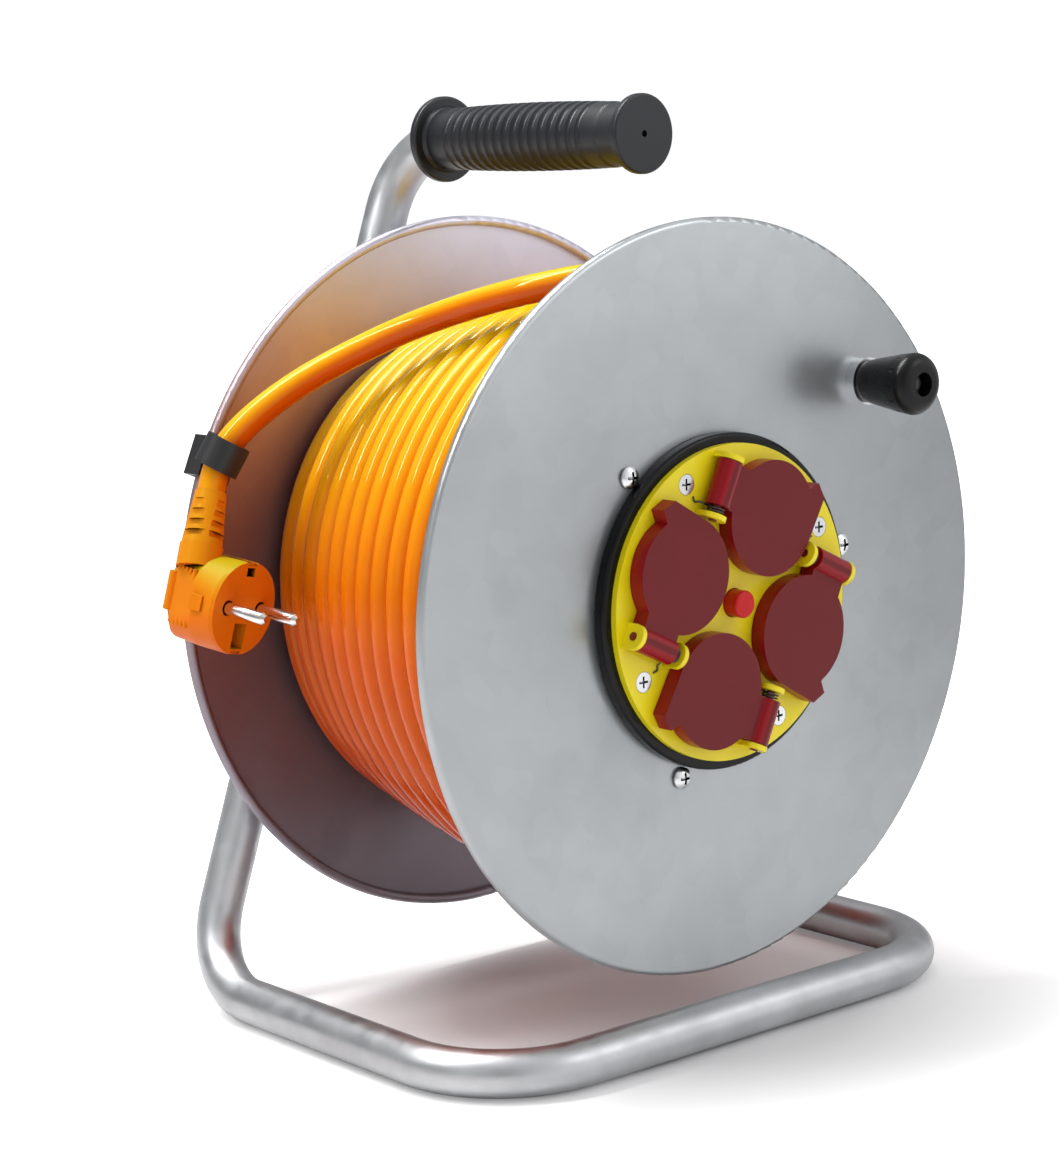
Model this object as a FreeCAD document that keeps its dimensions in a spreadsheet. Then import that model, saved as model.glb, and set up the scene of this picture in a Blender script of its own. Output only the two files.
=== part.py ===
# Extension cord reel: a steel drum on a bent tube stand, with a wound cable and a socket insert.
# World frame: +Z up, the drum axis along Y, the socket face towards -Y, the floor at Z = 0.
# Drum frame: x to the right and y up as seen from the socket side, z along the axis to the viewer.
import FreeCAD, Part
import math
import os
import Sketcher

Vector = FreeCAD.Vector
Placement = FreeCAD.Placement
Rotation = FreeCAD.Rotation

doc = FreeCAD.newDocument("cord_reel")
sheet = doc.addObject("Spreadsheet::Sheet", "Dimensions")


class Size:
    """A length or angle that carries its value and the spreadsheet expression it comes from."""

    def __init__(self, value, text=None):
        self.value = float(value)
        self.text = repr(float(value)) if text is None else text
        self.fixed = text is None

    def joined(self, other, value, sign):
        if self.fixed and other.fixed:
            return Size(value)
        return Size(value, "(" + self.text + " " + sign + " " + other.text + ")")

    def __add__(self, other):
        other = as_size(other)
        return self.joined(other, self.value + other.value, "+")

    def __radd__(self, other):
        return as_size(other) + self

    def __sub__(self, other):
        other = as_size(other)
        return self.joined(other, self.value - other.value, "-")

    def __rsub__(self, other):
        return as_size(other) - self

    def __mul__(self, other):
        other = as_size(other)
        return self.joined(other, self.value * other.value, "*")

    def __rmul__(self, other):
        return as_size(other) * self

    def __truediv__(self, other):
        other = as_size(other)
        return self.joined(other, self.value / other.value, "/")

    def __neg__(self):
        return Size(0) - self

    def __float__(self):
        return self.value


def as_size(number):
    return number if isinstance(number, Size) else Size(number)


def cosine(angle):
    angle = as_size(angle)
    value = math.cos(math.radians(angle.value))
    return Size(value) if angle.fixed else Size(value, "cos(" + angle.text + ")")


def sine(angle):
    angle = as_size(angle)
    value = math.sin(math.radians(angle.value))
    return Size(value) if angle.fixed else Size(value, "sin(" + angle.text + ")")


def polar(radius, angle):
    return as_size(radius) * cosine(angle), as_size(radius) * sine(angle)


row_count = 0


def size(alias, value, meaning):
    """Writes one driving dimension into the sheet and returns it."""
    global row_count
    row_count += 1
    sheet.set("A%d" % row_count, meaning)
    sheet.set("B%d" % row_count, str(value))
    sheet.setAlias("B%d" % row_count, alias)
    return Size(value, "Dimensions." + alias)


# Drum
drum_diameter = size("drum_diameter", 290, "outer diameter of both flanges")
drum_width = size("drum_width", 150, "outside width over both flanges")
sheet_steel = size("sheet_steel", 1.2, "flange sheet thickness")
rim_depth = size("rim_depth", 4.6, "depth of the rolled rim")
rim_width = size("rim_width", 4, "radial thickness of the rolled rim")
core_diameter = size("core_diameter", 152, "outside diameter of the winding core")
core_wall = size("core_wall", 3, "wall of the winding core")
flange_screw_circle = size("flange_screw_circle", 138, "pitch circle of the flange screws")
flange_screw_angle = size("flange_screw_angle", 12, "angle of the first flange screw")
screw_thread = size("screw_thread", 4, "thread diameter of the self-tapping screws")
screw_head = size("screw_head", 8.4, "head diameter of the pan-head screws")
screw_head_height = size("screw_head_height", 3, "head height of the pan-head screws")
screw_length = size("screw_length", 16, "length of the self-tapping screws")
boss_diameter = size("boss_diameter", 10, "diameter of the screw bosses in the core")

# Bearing and axle
axle_diameter = size("axle_diameter", 16, "diameter of the axle")
axle_shoulder = size("axle_shoulder", 28, "diameter of the axle shoulder")
axle_thread = size("axle_thread", 12, "diameter of the threaded axle tail")
running_gap = size("running_gap", 0.06, "radial clearance of the running fits")
bush_wall = size("bush_wall", 3, "wall of the nylon bush")
bush_collar = size("bush_collar", 3, "thickness of the bush collar")
hub_depth = size("hub_depth", 30, "length of the bearing hub inside the drum")
hub_diameter = size("hub_diameter", 100, "diameter of the hub plate")
hub_sheet = size("hub_sheet", 2, "thickness of the hub plate and tube")
washer_thickness = size("washer_thickness", 1.6, "thickness of the thrust washers")
clip_thickness = size("clip_thickness", 1.2, "thickness of the retaining ring")
seat_gap = size("seat_gap", 0.3, "standing clearance between faces that do not bear")

# Stand
axle_height = size("axle_height", 170, "height of the drum axis above the floor")
tube_diameter = size("tube_diameter", 18, "outside diameter of the stand tube")
tube_wall = size("tube_wall", 1.5, "wall of the stand tube")
stand_half_width = size("stand_half_width", 127, "side tubes to the centre plane")
front_tube_clearance = size("front_tube_clearance", 10, "front tube axis ahead of the front flange face")
leg_clearance = size("leg_clearance", 21.6, "leg plane behind the back flange face")
leg_slope = size("leg_slope", 0.3443, "sideways lean of the legs per unit height")
grip_height = size("grip_height", 176.2, "grip axis above the drum axis")
bend_top = size("bend_top", 30, "bend radius behind the grip")
bend_rear = size("bend_rear", 34, "bend radius at the rear corners")
bend_front = size("bend_front", 44, "bend radius at the front corners")
right_leg_top = size("right_leg_top", 44, "right leg end above the drum axis")
bracket_height = size("bracket_height", 36, "height of the axle bracket")
bracket_thickness = size("bracket_thickness", 4, "thickness of the axle bracket")
bracket_overhang = size("bracket_overhang", 16, "bracket beyond each leg bolt")
bolt_diameter = size("bolt_diameter", 6, "diameter of the leg bolts")
bolt_head_flats = size("bolt_head_flats", 10, "width of the bolt heads across the flats")
bolt_head_height = size("bolt_head_height", 4, "height of the bolt heads")
nut_height = size("nut_height", 5, "height of the nuts")

# Handle grip
grip_length = size("grip_length", 120.4, "length of the rubber grip")
grip_setback = size("grip_setback", 3.6, "rear end of the grip ahead of the back flange face")
grip_wall = size("grip_wall", 2.9, "rubber wall at the rib roots")
grip_crown = size("grip_crown", 26.8, "largest diameter over the ribs")
grip_neck = size("grip_neck", 24, "diameter of the plain neck")
grip_front_disc = size("grip_front_disc", 30.2, "diameter of the front disc")
grip_rear_disc = size("grip_rear_disc", 34.6, "diameter of the rear disc")
grip_disc = size("grip_disc", 3.6, "thickness of the end discs")
grip_neck_length = size("grip_neck_length", 12, "length of the plain neck behind the front disc")
rib_count = 17
rib_pitch = size("rib_pitch", 5.3, "distance between the grip ribs")
rib_groove = size("rib_groove", 4.2, "width of the groove between two ribs")

# Socket insert
bezel_diameter = size("bezel_diameter", 129, "outside diameter of the insert bezel")
bezel_height = size("bezel_height", 4.5, "bezel face above the flange")
gasket_thickness = size("gasket_thickness", 0.8, "gasket between bezel and flange")
cup_diameter = size("cup_diameter", 118, "outside diameter of the insert cup")
cup_wall = size("cup_wall", 2.2, "wall of the insert cup")
cup_depth = size("cup_depth", 50, "depth of the insert cup behind the bezel face")
plate_diameter = size("plate_diameter", 121.2, "diameter of the socket plate")
plate_thickness = size("plate_thickness", 2.6, "thickness of the socket plate")
plate_screw_radius = size("plate_screw_radius", 53, "plate screws to the axis")
plate_screw_angle = size("plate_screw_angle", 27, "angle of the first plate screw")
socket_radius = size("socket_radius", 34.6, "socket centres to the axis")
socket_angle = size("socket_angle", 65, "angle of the first socket")
well_diameter = size("well_diameter", 39, "bore of a socket well")
well_wall = size("well_wall", 1.7, "wall of a socket well")
well_depth = size("well_depth", 17.5, "depth of a socket well")
well_floor = size("well_floor", 2.5, "floor thickness of a socket well")
pin_spacing = size("pin_spacing", 19, "distance between the plug pins")
pin_hole = size("pin_hole", 5.4, "pin hole in the well floor")
sleeve_diameter = size("sleeve_diameter", 6.6, "outside diameter of a contact sleeve")
sleeve_length = size("sleeve_length", 13, "length of a contact sleeve")
rail_thickness = size("rail_thickness", 1.2, "thickness of the brass rails")
rail_width = size("rail_width", 4, "width of the brass rings")
earth_clip_width = size("earth_clip_width", 5, "width of an earth clip")
earth_clip_sheet = size("earth_clip_sheet", 0.8, "thickness of an earth clip")
carrier_thickness = size("carrier_thickness", 4, "thickness of the contact carrier")
button_diameter = size("button_diameter", 10.5, "diameter of the reset button")
button_height = size("button_height", 6.5, "reset button above the plate")
button_travel = size("button_travel", 2, "travel of the reset button")
cutout_width = size("cutout_width", 17, "width of the thermal cut-out")
cutout_depth = size("cutout_depth", 24, "depth of the thermal cut-out")

# Socket covers and their hinges
cover_diameter = size("cover_diameter", 44.4, "diameter of a socket cover")
cover_height = size("cover_height", 7, "height of a closed cover above the plate")
cover_wall = size("cover_wall", 1.5, "wall of a cover")
cover_top = size("cover_top", 2.4, "top thickness of a cover")
hinge_offset = size("hinge_offset", 28.5, "hinge line to the socket centre")
barrel_diameter = size("barrel_diameter", 9.4, "diameter of the hinge barrel")
barrel_start = size("barrel_start", 29.4, "barrel inner end to the plate centre line")
barrel_length = size("barrel_length", 17.6, "length of the hinge barrel")
spring_space = size("spring_space", 3.4, "room for the spring beside the barrel")
lug_thickness = size("lug_thickness", 2, "thickness of a hinge lug")
hinge_pin_diameter = size("hinge_pin_diameter", 3.2, "diameter of a hinge pin")
tab_radius = size("tab_radius", 28.8, "finger tab corner to the cover centre")
tab_angle = size("tab_angle", -55, "direction of the finger tab corner")
tab_spread = size("tab_spread", 13.5, "angle between the two sides of the finger tab")
spring_wire = size("spring_wire", 0.7, "wire of the hinge springs")
spring_radius = size("spring_radius", 3, "mean radius of the hinge springs")

# Crank knob
knob_radius = size("knob_radius", 112, "crank knob to the drum axis")
knob_angle = size("knob_angle", 44.4, "angle of the crank knob")
knob_length = size("knob_length", 28, "length of the crank knob")
knob_base = size("knob_base", 16.5, "knob diameter at its base")
knob_end = size("knob_end", 24.2, "knob diameter at its outer end")
knob_bolt = size("knob_bolt", 6, "shank diameter of the knob bolt")
knob_cup = size("knob_cup", 18.6, "diameter of the knob's steel cup")
knob_cup_height = size("knob_cup_height", 4.5, "height of the knob's steel cup")
knob_recess = size("knob_recess", 9.4, "diameter of the recess in the knob end")
knob_round = size("knob_round", 5, "radius of the knob's outer edge")
knob_thread = size("knob_thread", 4, "thread diameter at the end of the knob bolt")
knob_nut_flats = size("knob_nut_flats", 7, "width of the knob nut across the flats")
knob_nut_height = size("knob_nut_height", 3.2, "height of the knob nut")
knob_recess_depth = size("knob_recess_depth", 8, "depth of the recess in the knob end")

# Cable, clip and plug
cable_diameter = size("cable_diameter", 11, "outside diameter of the cable")
wound_turns = size("wound_turns", 12.05, "turns of the outer winding layer")
wound_end_angle = size("wound_end_angle", 80, "angle where the outer layer ends")
wound_low = size("wound_low", 97.5, "cable centre radius at the back flange")
wound_rise = size("wound_rise", 20.5, "extra cable centre radius at the front flange")
clip_angle = size("clip_angle", 157, "angle of the cable clip on the back rim")
clip_wall = size("clip_wall", 2.4, "wall of the cable clip")
clip_length = size("clip_length", 16, "length of the clip along the cable")
plug_face = size("plug_face", 36, "diameter of the plug face")
plug_depth = size("plug_depth", 29, "depth of the plug behind its face")
plug_x = size("plug_x", -141, "plug face centre across the drum axis")
plug_z = size("plug_z", 1.7, "plug face centre above the drum axis")
plug_setback = size("plug_setback", 37.5, "plug face ahead of the back flange face")
pin_diameter = size("pin_diameter", 4.8, "diameter of the plug pins")
pin_length = size("pin_length", 19, "length of the plug pins")
relief_length = size("relief_length", 21.4, "length of the plug's strain relief")
relief_diameter = size("relief_diameter", 16, "strain relief diameter at the plug")
relief_x = size("relief_x", -140.2, "top of the strain relief across the drum axis")
relief_z = size("relief_z", 44.4, "top of the strain relief above the drum axis")
relief_setback = size("relief_setback", 17.4, "top of the strain relief ahead of the back flange face")

drum_radius = drum_diameter / 2
half_width = drum_width / 2
leg_reach = half_width + leg_clearance
front_tube_reach = half_width + front_tube_clearance
grip_rear = half_width - grip_setback
plug_y = half_width - plug_setback
knob_front = half_width + knob_cup_height + seat_gap + knob_length
bolt_back = leg_reach + tube_diameter / 2 + nut_height + 3
drum_y = (knob_front - bolt_back) / 2

DRUM_TURN = Rotation(Vector(1, 0, 0), 90)
Z_UP = Vector(0, 0, 1)


def bind(item, path, amount):
    """Binds a property of an object to an expression, or sets it where it is a plain number."""
    amount = as_size(amount)
    if amount.fixed:
        setattr(item, path, amount.value)
    else:
        item.setExpression(path, amount.text)


def place(item, x=0, y=0, z=0, turn=None):
    """Sets where an object stands, with each bound coordinate as an expression."""
    corner = [as_size(amount) for amount in (x, y, z)]
    turn = item.Placement.Rotation if turn is None else turn
    item.Placement = Placement(Vector(*[amount.value for amount in corner]), turn)
    for axis, amount in zip("xyz", corner):
        if not amount.fixed:
            item.setExpression("Placement.Base." + axis, amount.text)
    return item


def cylinder(radius, height, x=0, y=0, z=0, turn=None):
    item = doc.addObject("Part::Cylinder", "round")
    bind(item, "Radius", radius)
    bind(item, "Height", height)
    return place(item, x, y, z, turn)


def cone(radius1, radius2, height, x=0, y=0, z=0, turn=None):
    item = doc.addObject("Part::Cone", "taper")
    bind(item, "Radius1", radius1)
    bind(item, "Radius2", radius2)
    bind(item, "Height", height)
    return place(item, x, y, z, turn)


def block(length, width, height, x=0, y=0, z=0, turn=None):
    """A box centred on x and y that stands on z."""
    item = doc.addObject("Part::Box", "block")
    bind(item, "Length", length)
    bind(item, "Width", width)
    bind(item, "Height", height)
    if turn is None:
        return place(item, as_size(x) - as_size(length) / 2, as_size(y) - as_size(width) / 2, z)
    return place(item, x, y, z, turn)


def hexagon(flats, height, x=0, y=0, z=0, turn=None):
    item = doc.addObject("Part::Prism", "hexagon")
    item.Polygon = 6
    bind(item, "Circumradius", as_size(flats) / math.sqrt(3))
    bind(item, "Height", height)
    return place(item, x, y, z, turn)


def cut(base, *tools):
    for tool in tools:
        item = doc.addObject("Part::Cut", "cut")
        item.Base = base
        item.Tool = tool
        base = item
    return base


def fuse(*pieces):
    item = doc.addObject("Part::MultiFuse", "joined")
    item.Shapes = list(pieces)
    return item


def group(*pieces):
    """Holds separate identical solids as one object."""
    item = doc.addObject("Part::Compound", "group")
    item.Links = list(pieces)
    return item


parts = []


def part(item, label):
    """Names a finished sub-part."""
    item.Label = label
    parts.append(item)
    return item


def on_drum(item, label, turn=0):
    """Names a sub-part modelled in the drum frame and sets it on the drum axis."""
    turned = DRUM_TURN.multiply(Rotation(Z_UP, float(turn)))
    place(item, 0, drum_y, axle_height, turned)
    return part(item, label)


def body_of(label):
    body = doc.addObject("PartDesign::Body", label + "_body")
    return body


def origin_plane(body, role):
    for feature in body.Origin.OriginFeatures:
        if feature.Role == role:
            return feature
    return None


def sketch_on(body, role, name, offset=0):
    sketch = body.newObject("Sketcher::SketchObject", name)
    sketch.AttachmentSupport = (origin_plane(body, role), [""])
    sketch.MapMode = "FlatFace"
    offset = as_size(offset)
    sketch.AttachmentOffset = Placement(Vector(0, 0, offset.value), Rotation())
    if not offset.fixed:
        sketch.setExpression("AttachmentOffset.Base.z", offset.text)
    return sketch


def fix_point(sketch, geometry, corner, u, v):
    for kind, amount, axis in (("DistanceX", u, -2), ("DistanceY", v, -1)):
        amount = as_size(amount)
        if amount.fixed and amount.value == 0:
            sketch.addConstraint(Sketcher.Constraint("PointOnObject", geometry, corner, axis))
            continue
        index = sketch.addConstraint(Sketcher.Constraint(kind, -1, 1, geometry, corner, amount.value))
        if not amount.fixed:
            sketch.setExpression("Constraints[%d]" % index, amount.text)


def fix_radius(sketch, geometry, radius):
    radius = as_size(radius)
    index = sketch.addConstraint(Sketcher.Constraint("Radius", geometry, radius.value))
    if not radius.fixed:
        sketch.setExpression("Constraints[%d]" % index, radius.text)


def arc_through(start, end, radius, side):
    """An arc from start to end; side 1 bulges to the right of the way, -1 to the left."""
    middle = (start + end) * 0.5
    chord = end - start
    rise = math.sqrt(max(radius * radius - chord.Length * chord.Length / 4, 0))
    normal = Vector(-chord.y, chord.x, 0).normalize()
    centre = middle + normal * (rise * side)
    angles = [math.atan2(p.y - centre.y, p.x - centre.x) for p in (start, end)]
    if side < 0:
        angles.reverse()
    return Part.ArcOfCircle(Part.Circle(centre, Z_UP, radius), angles[0], angles[1])


def outline(sketch, points):
    """Draws a closed outline; a point may add the radius and side of the arc that leads to it."""
    count = len(points)
    flat = [Vector(float(p[0]), float(p[1]), 0) for p in points]
    ends = []
    for i in range(count):
        start, end, following = flat[i], flat[(i + 1) % count], points[(i + 1) % count]
        if len(following) == 2:
            index = sketch.addGeometry(Part.LineSegment(start, end), False)
            ends.append((index, 1, 2))
        else:
            radius, side = following[2], following[3]
            index = sketch.addGeometry(arc_through(start, end, float(radius), side), False)
            ends.append((index, 1, 2) if side > 0 else (index, 2, 1))
            fix_radius(sketch, index, radius)
    for i in range(count):
        index, first, last = ends[i]
        following, start_corner, unused = ends[(i + 1) % count]
        sketch.addConstraint(Sketcher.Constraint("Coincident", index, last, following, start_corner))
        fix_point(sketch, index, first, points[i][0], points[i][1])
    return sketch


def circle(sketch, u, v, radius):
    centre = Vector(float(u), float(v), 0)
    index = sketch.addGeometry(Part.Circle(centre, Z_UP, float(radius)), False)
    fix_point(sketch, index, 3, u, v)
    fix_radius(sketch, index, radius)
    return index


def revolve(body, points, name="profile"):
    sketch = outline(sketch_on(body, "XZ_Plane", name), points)
    feature = body.newObject("PartDesign::Revolution", "turned")
    feature.Profile = sketch
    feature.ReferenceAxis = (sketch, ["V_Axis"])
    feature.Angle = 360
    return feature


def groove(body, points, name="groove_profile"):
    sketch = outline(sketch_on(body, "XZ_Plane", name), points)
    feature = body.newObject("PartDesign::Groove", "groove")
    feature.Profile = sketch
    feature.ReferenceAxis = (sketch, ["V_Axis"])
    feature.Angle = 360
    return feature


def pad(body, sketch, length, down=False):
    feature = body.newObject("PartDesign::Pad", "pad")
    feature.Profile = sketch
    bind(feature, "Length", length)
    feature.Reversed = down
    return feature


def pocket(body, sketch, length, down=True):
    """Cuts from the sketch plane, down towards lower z or up."""
    feature = body.newObject("PartDesign::Pocket", "pocket")
    feature.Profile = sketch
    bind(feature, "Length", length)
    feature.Reversed = not down
    return feature


def polar_copies(body, feature, count):
    pattern = body.newObject("PartDesign::PolarPattern", "copies")
    pattern.Originals = [feature]
    for axis in body.Origin.OriginFeatures:
        if axis.Role == "Z_Axis":
            pattern.Axis = (axis, [""])
    pattern.Angle = 360
    pattern.Occurrences = count
    body.Tip = pattern
    return pattern


# Levels along the drum frame's z axis
front_face = half_width
front_inside = half_width - sheet_steel
back_face = -half_width
back_inside = sheet_steel - half_width
core_radius = core_diameter / 2
bezel_face = front_face + gasket_thickness + bezel_height
plate_face = bezel_face + plate_thickness
cup_radius = cup_diameter / 2
cup_back = bezel_face - cup_depth
cup_floor = cup_back + cup_wall
screw_angles = [flange_screw_angle + 120 * i for i in range(3)]
socket_angles = [socket_angle + 90 * i for i in range(4)]
screw_radius = flange_screw_circle / 2


def flange(label, hole, outside, inward):
    """A pressed disc with a rolled rim; outside is its face, inward the way to the winding."""
    body = body_of(label)
    rim_inside = drum_radius - rim_width
    round_over = rim_width / 2
    face = as_size(outside)
    sheet_back = face + sheet_steel * inward
    rim_back = face + rim_depth * inward
    points = [
        (hole, face),
        (drum_radius - round_over, face),
        (drum_radius, face + round_over * inward, round_over, inward),
        (drum_radius, rim_back - round_over * inward),
        (drum_radius - round_over, rim_back, round_over, inward),
        (rim_inside, rim_back - round_over * inward, round_over, inward),
        (rim_inside, sheet_back),
        (hole, sheet_back),
    ]
    revolve(body, points)
    outer_level = face if inward < 0 else sheet_back
    holes = sketch_on(body, "XY_Plane", "screw_holes", outer_level + 1)
    for angle in screw_angles:
        u, v = polar(screw_radius, angle)
        circle(holes, u, v, screw_thread / 2 + 0.2)
    return body, holes


def front_flange():
    body, holes = flange("front_flange", cup_radius + 1, front_face, -1)
    u, v = polar(knob_radius, knob_angle)
    circle(holes, u, v, knob_bolt / 2 + 0.2)
    pocket(body, holes, sheet_steel + 2)
    on_drum(body, "front_flange")


hub_radius = hub_diameter / 2
bush_bore = axle_diameter / 2 + running_gap
bush_radius = bush_bore + bush_wall
rivet_circle = hub_radius - 8
rivet_angles = [45 + 90 * i for i in range(4)]


def back_flange():
    body, holes = flange("back_flange", bush_radius + 0.2, back_face, 1)
    pocket(body, holes, sheet_steel + 2)
    rivets = sketch_on(body, "XY_Plane", "rivet_holes", back_inside + 1)
    for angle in rivet_angles:
        u, v = polar(rivet_circle, angle)
        circle(rivets, u, v, Size(2.1))
    pocket(body, rivets, sheet_steel + 2)
    on_drum(body, "back_flange")


cable_hole_angle = 200
cable_hole_z = back_inside + cable_diameter / 2 + 8
cable_hole = cable_diameter / 2 + 2.5


def drum_core():
    length = front_inside - back_inside
    tube = cut(cylinder(core_radius, length, z=back_inside),
               cylinder(core_radius - core_wall, length, z=back_inside))
    bosses = []
    pilots = []
    for angle in screw_angles:
        u, v = polar(screw_radius, angle)
        bosses.append(cylinder(boss_diameter / 2, length, u, v, back_inside))
        pilots.append(cylinder(screw_thread / 2, screw_length + 4, u, v, front_inside - screw_length - 4))
        pilots.append(cylinder(screw_thread / 2, screw_length + 4, u, v, back_inside))
    shell = cut(fuse(tube, *bosses), *pilots)
    through = Rotation(Z_UP, cable_hole_angle).multiply(Rotation(Vector(0, 1, 0), 90))
    hole = cylinder(cable_hole, core_radius + 5, z=cable_hole_z, turn=through)
    on_drum(cut(shell, hole), "drum_core")


def pan_screw(u, v, face, outward, length, head, height, thread):
    """A pan-head screw with a cross slot; outward is the way its head faces."""
    face = as_size(face)
    shank = cylinder(thread / 2, as_size(length), u, v, face - length if outward > 0 else face, Rotation())
    dome = doc.addObject("Part::Sphere", "dome")
    bind(dome, "Radius", head * 0.72)
    sink = head * 0.72 - height
    place(dome, u, v, face - sink * outward)
    disc = cylinder(head / 2, height, u, v, face if outward > 0 else face - height)
    top = doc.addObject("Part::Common", "head")
    top.Base = disc
    top.Tool = dome
    slot_floor = face + (height - 1.4) * outward
    slots = []
    for long_side, short_side in ((head * 0.55, Size(1.1)), (Size(1.1), head * 0.55)):
        base = slot_floor if outward > 0 else slot_floor - 3
        slots.append(block(long_side, short_side, Size(3), u, v, base))
    return cut(fuse(shank, top), *slots)


def flange_screws():
    front = []
    back = []
    for angle in screw_angles:
        u, v = polar(screw_radius, angle)
        common = (screw_length, screw_head, screw_head_height, screw_thread)
        front.append(pan_screw(u, v, front_face, 1, *common))
        back.append(pan_screw(u, v, back_face, -1, *common))
    on_drum(group(*front), "front_flange_screws")
    on_drum(group(*back), "back_flange_screws")


def bearing():
    """The hub plate riveted inside the back flange, and the nylon bush that turns on the axle."""
    body = body_of("hub_plate")
    tube_radius = bush_radius + hub_sheet
    revolve(body, [
        (bush_radius, back_inside),
        (hub_radius, back_inside),
        (hub_radius, back_inside + hub_sheet),
        (tube_radius, back_inside + hub_sheet),
        (tube_radius, back_inside + hub_depth),
        (bush_radius, back_inside + hub_depth),
    ])
    holes = sketch_on(body, "XY_Plane", "rivet_holes", back_inside + hub_sheet + 1)
    for angle in rivet_angles:
        u, v = polar(rivet_circle, angle)
        circle(holes, u, v, Size(2.1))
    pocket(body, holes, hub_sheet + 2)
    on_drum(body, "hub_plate")

    rivets = []
    for angle in rivet_angles:
        u, v = polar(rivet_circle, angle)
        shank = cylinder(Size(2), hub_sheet + sheet_steel + 1, u, v, back_face - 0.5)
        rivets.append(fuse(shank, cylinder(Size(4), Size(1.2), u, v, back_inside + hub_sheet),
                           cylinder(Size(4), Size(1.2), u, v, back_face - 1.2)))
    on_drum(group(*rivets), "hub_rivets")

    body = body_of("hub_bush")
    revolve(body, [
        (bush_bore, back_face - bush_collar),
        (bush_radius + 4, back_face - bush_collar),
        (bush_radius + 4, back_face),
        (bush_radius, back_face),
        (bush_radius, back_inside + hub_depth),
        (bush_bore, back_inside + hub_depth),
    ])
    on_drum(body, "hub_bush")


front_flange()
back_flange()
drum_core()
flange_screws()
bearing()


axial_gap = 0.15
bracket_front = bracket_thickness + tube_diameter / 2 - leg_reach
bracket_back = tube_diameter / 2 - leg_reach
shoulder_front = back_face - bush_collar - axial_gap * 2 - washer_thickness
bush_end = back_inside + hub_depth
ring_back = bush_end + axial_gap * 2 + washer_thickness
ring_radius = axle_diameter / 2 - 0.9
leg_x = stand_half_width - leg_slope * (axle_height - tube_diameter / 2)


def axle():
    tail = axle_thread / 2
    pin = axle_diameter / 2
    body = body_of("axle")
    revolve(body, [
        (0, bracket_back - 10),
        (tail, bracket_back - 10),
        (tail, bracket_front),
        (axle_shoulder / 2, bracket_front),
        (axle_shoulder / 2, shoulder_front),
        (pin, shoulder_front),
        (pin, ring_back),
        (ring_radius, ring_back),
        (ring_radius, ring_back + clip_thickness),
        (pin, ring_back + clip_thickness),
        (pin, ring_back + clip_thickness + 2),
        (0, ring_back + clip_thickness + 2),
    ])
    on_drum(body, "axle")
    nut = cut(hexagon(axle_thread * 1.5, Size(7), z=bracket_back - 7),
              cylinder(tail, Size(9), z=bracket_back - 8))
    on_drum(nut, "axle_nut")
    washers = []
    for base in (shoulder_front, bush_end + axial_gap * 2):
        washers.append(cut(cylinder(axle_shoulder / 2, washer_thickness, z=base),
                           cylinder(pin + 0.1, washer_thickness, z=base)))
    on_drum(group(*washers), "thrust_washers")
    ring = cut(cylinder(pin + 3, clip_thickness, z=ring_back),
               cylinder(ring_radius, clip_thickness, z=ring_back),
               block(Size(6), Size(20), clip_thickness, 0, 10, ring_back))
    on_drum(ring, "retaining_ring")


def axle_bracket():
    half_length = leg_x + bracket_overhang
    half_height = bracket_height / 2
    corner = 8
    body = body_of("axle_bracket")
    sketch = sketch_on(body, "XY_Plane", "plate", bracket_back)
    outline(sketch, [
        (corner - half_length, -half_height, corner, 1),
        (half_length - corner, -half_height),
        (half_length, corner - half_height, corner, 1),
        (half_length, half_height - corner),
        (half_length - corner, half_height, corner, 1),
        (corner - half_length, half_height),
        (-half_length, half_height - corner, corner, 1),
        (-half_length, corner - half_height),
    ])
    pad(body, sketch, bracket_thickness)
    holes = sketch_on(body, "XY_Plane", "holes", bracket_front + 1)
    circle(holes, 0, 0, axle_thread / 2 + 0.1)
    circle(holes, leg_x, 0, bolt_diameter / 2 + 0.2)
    circle(holes, -leg_x, 0, bolt_diameter / 2 + 0.2)
    pocket(body, holes, bracket_thickness + 2)
    on_drum(body, "axle_bracket")


def leg_bolts():
    bolts = []
    nuts = []
    shank_end = -(leg_reach + tube_diameter / 2 + nut_height + 3)
    for side in (-1, 1):
        x = leg_x * side
        shank = cylinder(bolt_diameter / 2, bracket_front - shank_end, x, 0, shank_end)
        head = hexagon(bolt_head_flats, bolt_head_height, x, 0, bracket_front)
        bolts.append(fuse(shank, head))
        nut_back = shank_end + 3
        nuts.append(cut(hexagon(bolt_head_flats, nut_height, x, 0, nut_back),
                        cylinder(bolt_diameter / 2, nut_height + 2, x, 0, nut_back - 1)))
    on_drum(group(*bolts), "leg_bolts")
    on_drum(group(*nuts), "leg_nuts")


def rounded_path(points, radii):
    """Straight runs joined by tangent arcs; radii holds one for each inner point."""
    edges = []
    start = points[0]
    for i in range(1, len(points) - 1):
        before = (points[i] - points[i - 1]).normalize()
        after = (points[i + 1] - points[i]).normalize()
        half_turn = before.getAngle(after) / 2
        reach = radii[i - 1] * math.tan(half_turn)
        arc_start = points[i] - before * reach
        arc_end = points[i] + after * reach
        inward = (after - before).normalize()
        middle = points[i] + inward * (radii[i - 1] / math.cos(half_turn) - radii[i - 1])
        edges.append(Part.LineSegment(start, arc_start).toShape())
        edges.append(Part.Arc(arc_start, middle, arc_end).toShape())
        start = arc_end
    edges.append(Part.LineSegment(start, points[-1]).toShape())
    return edges


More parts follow.
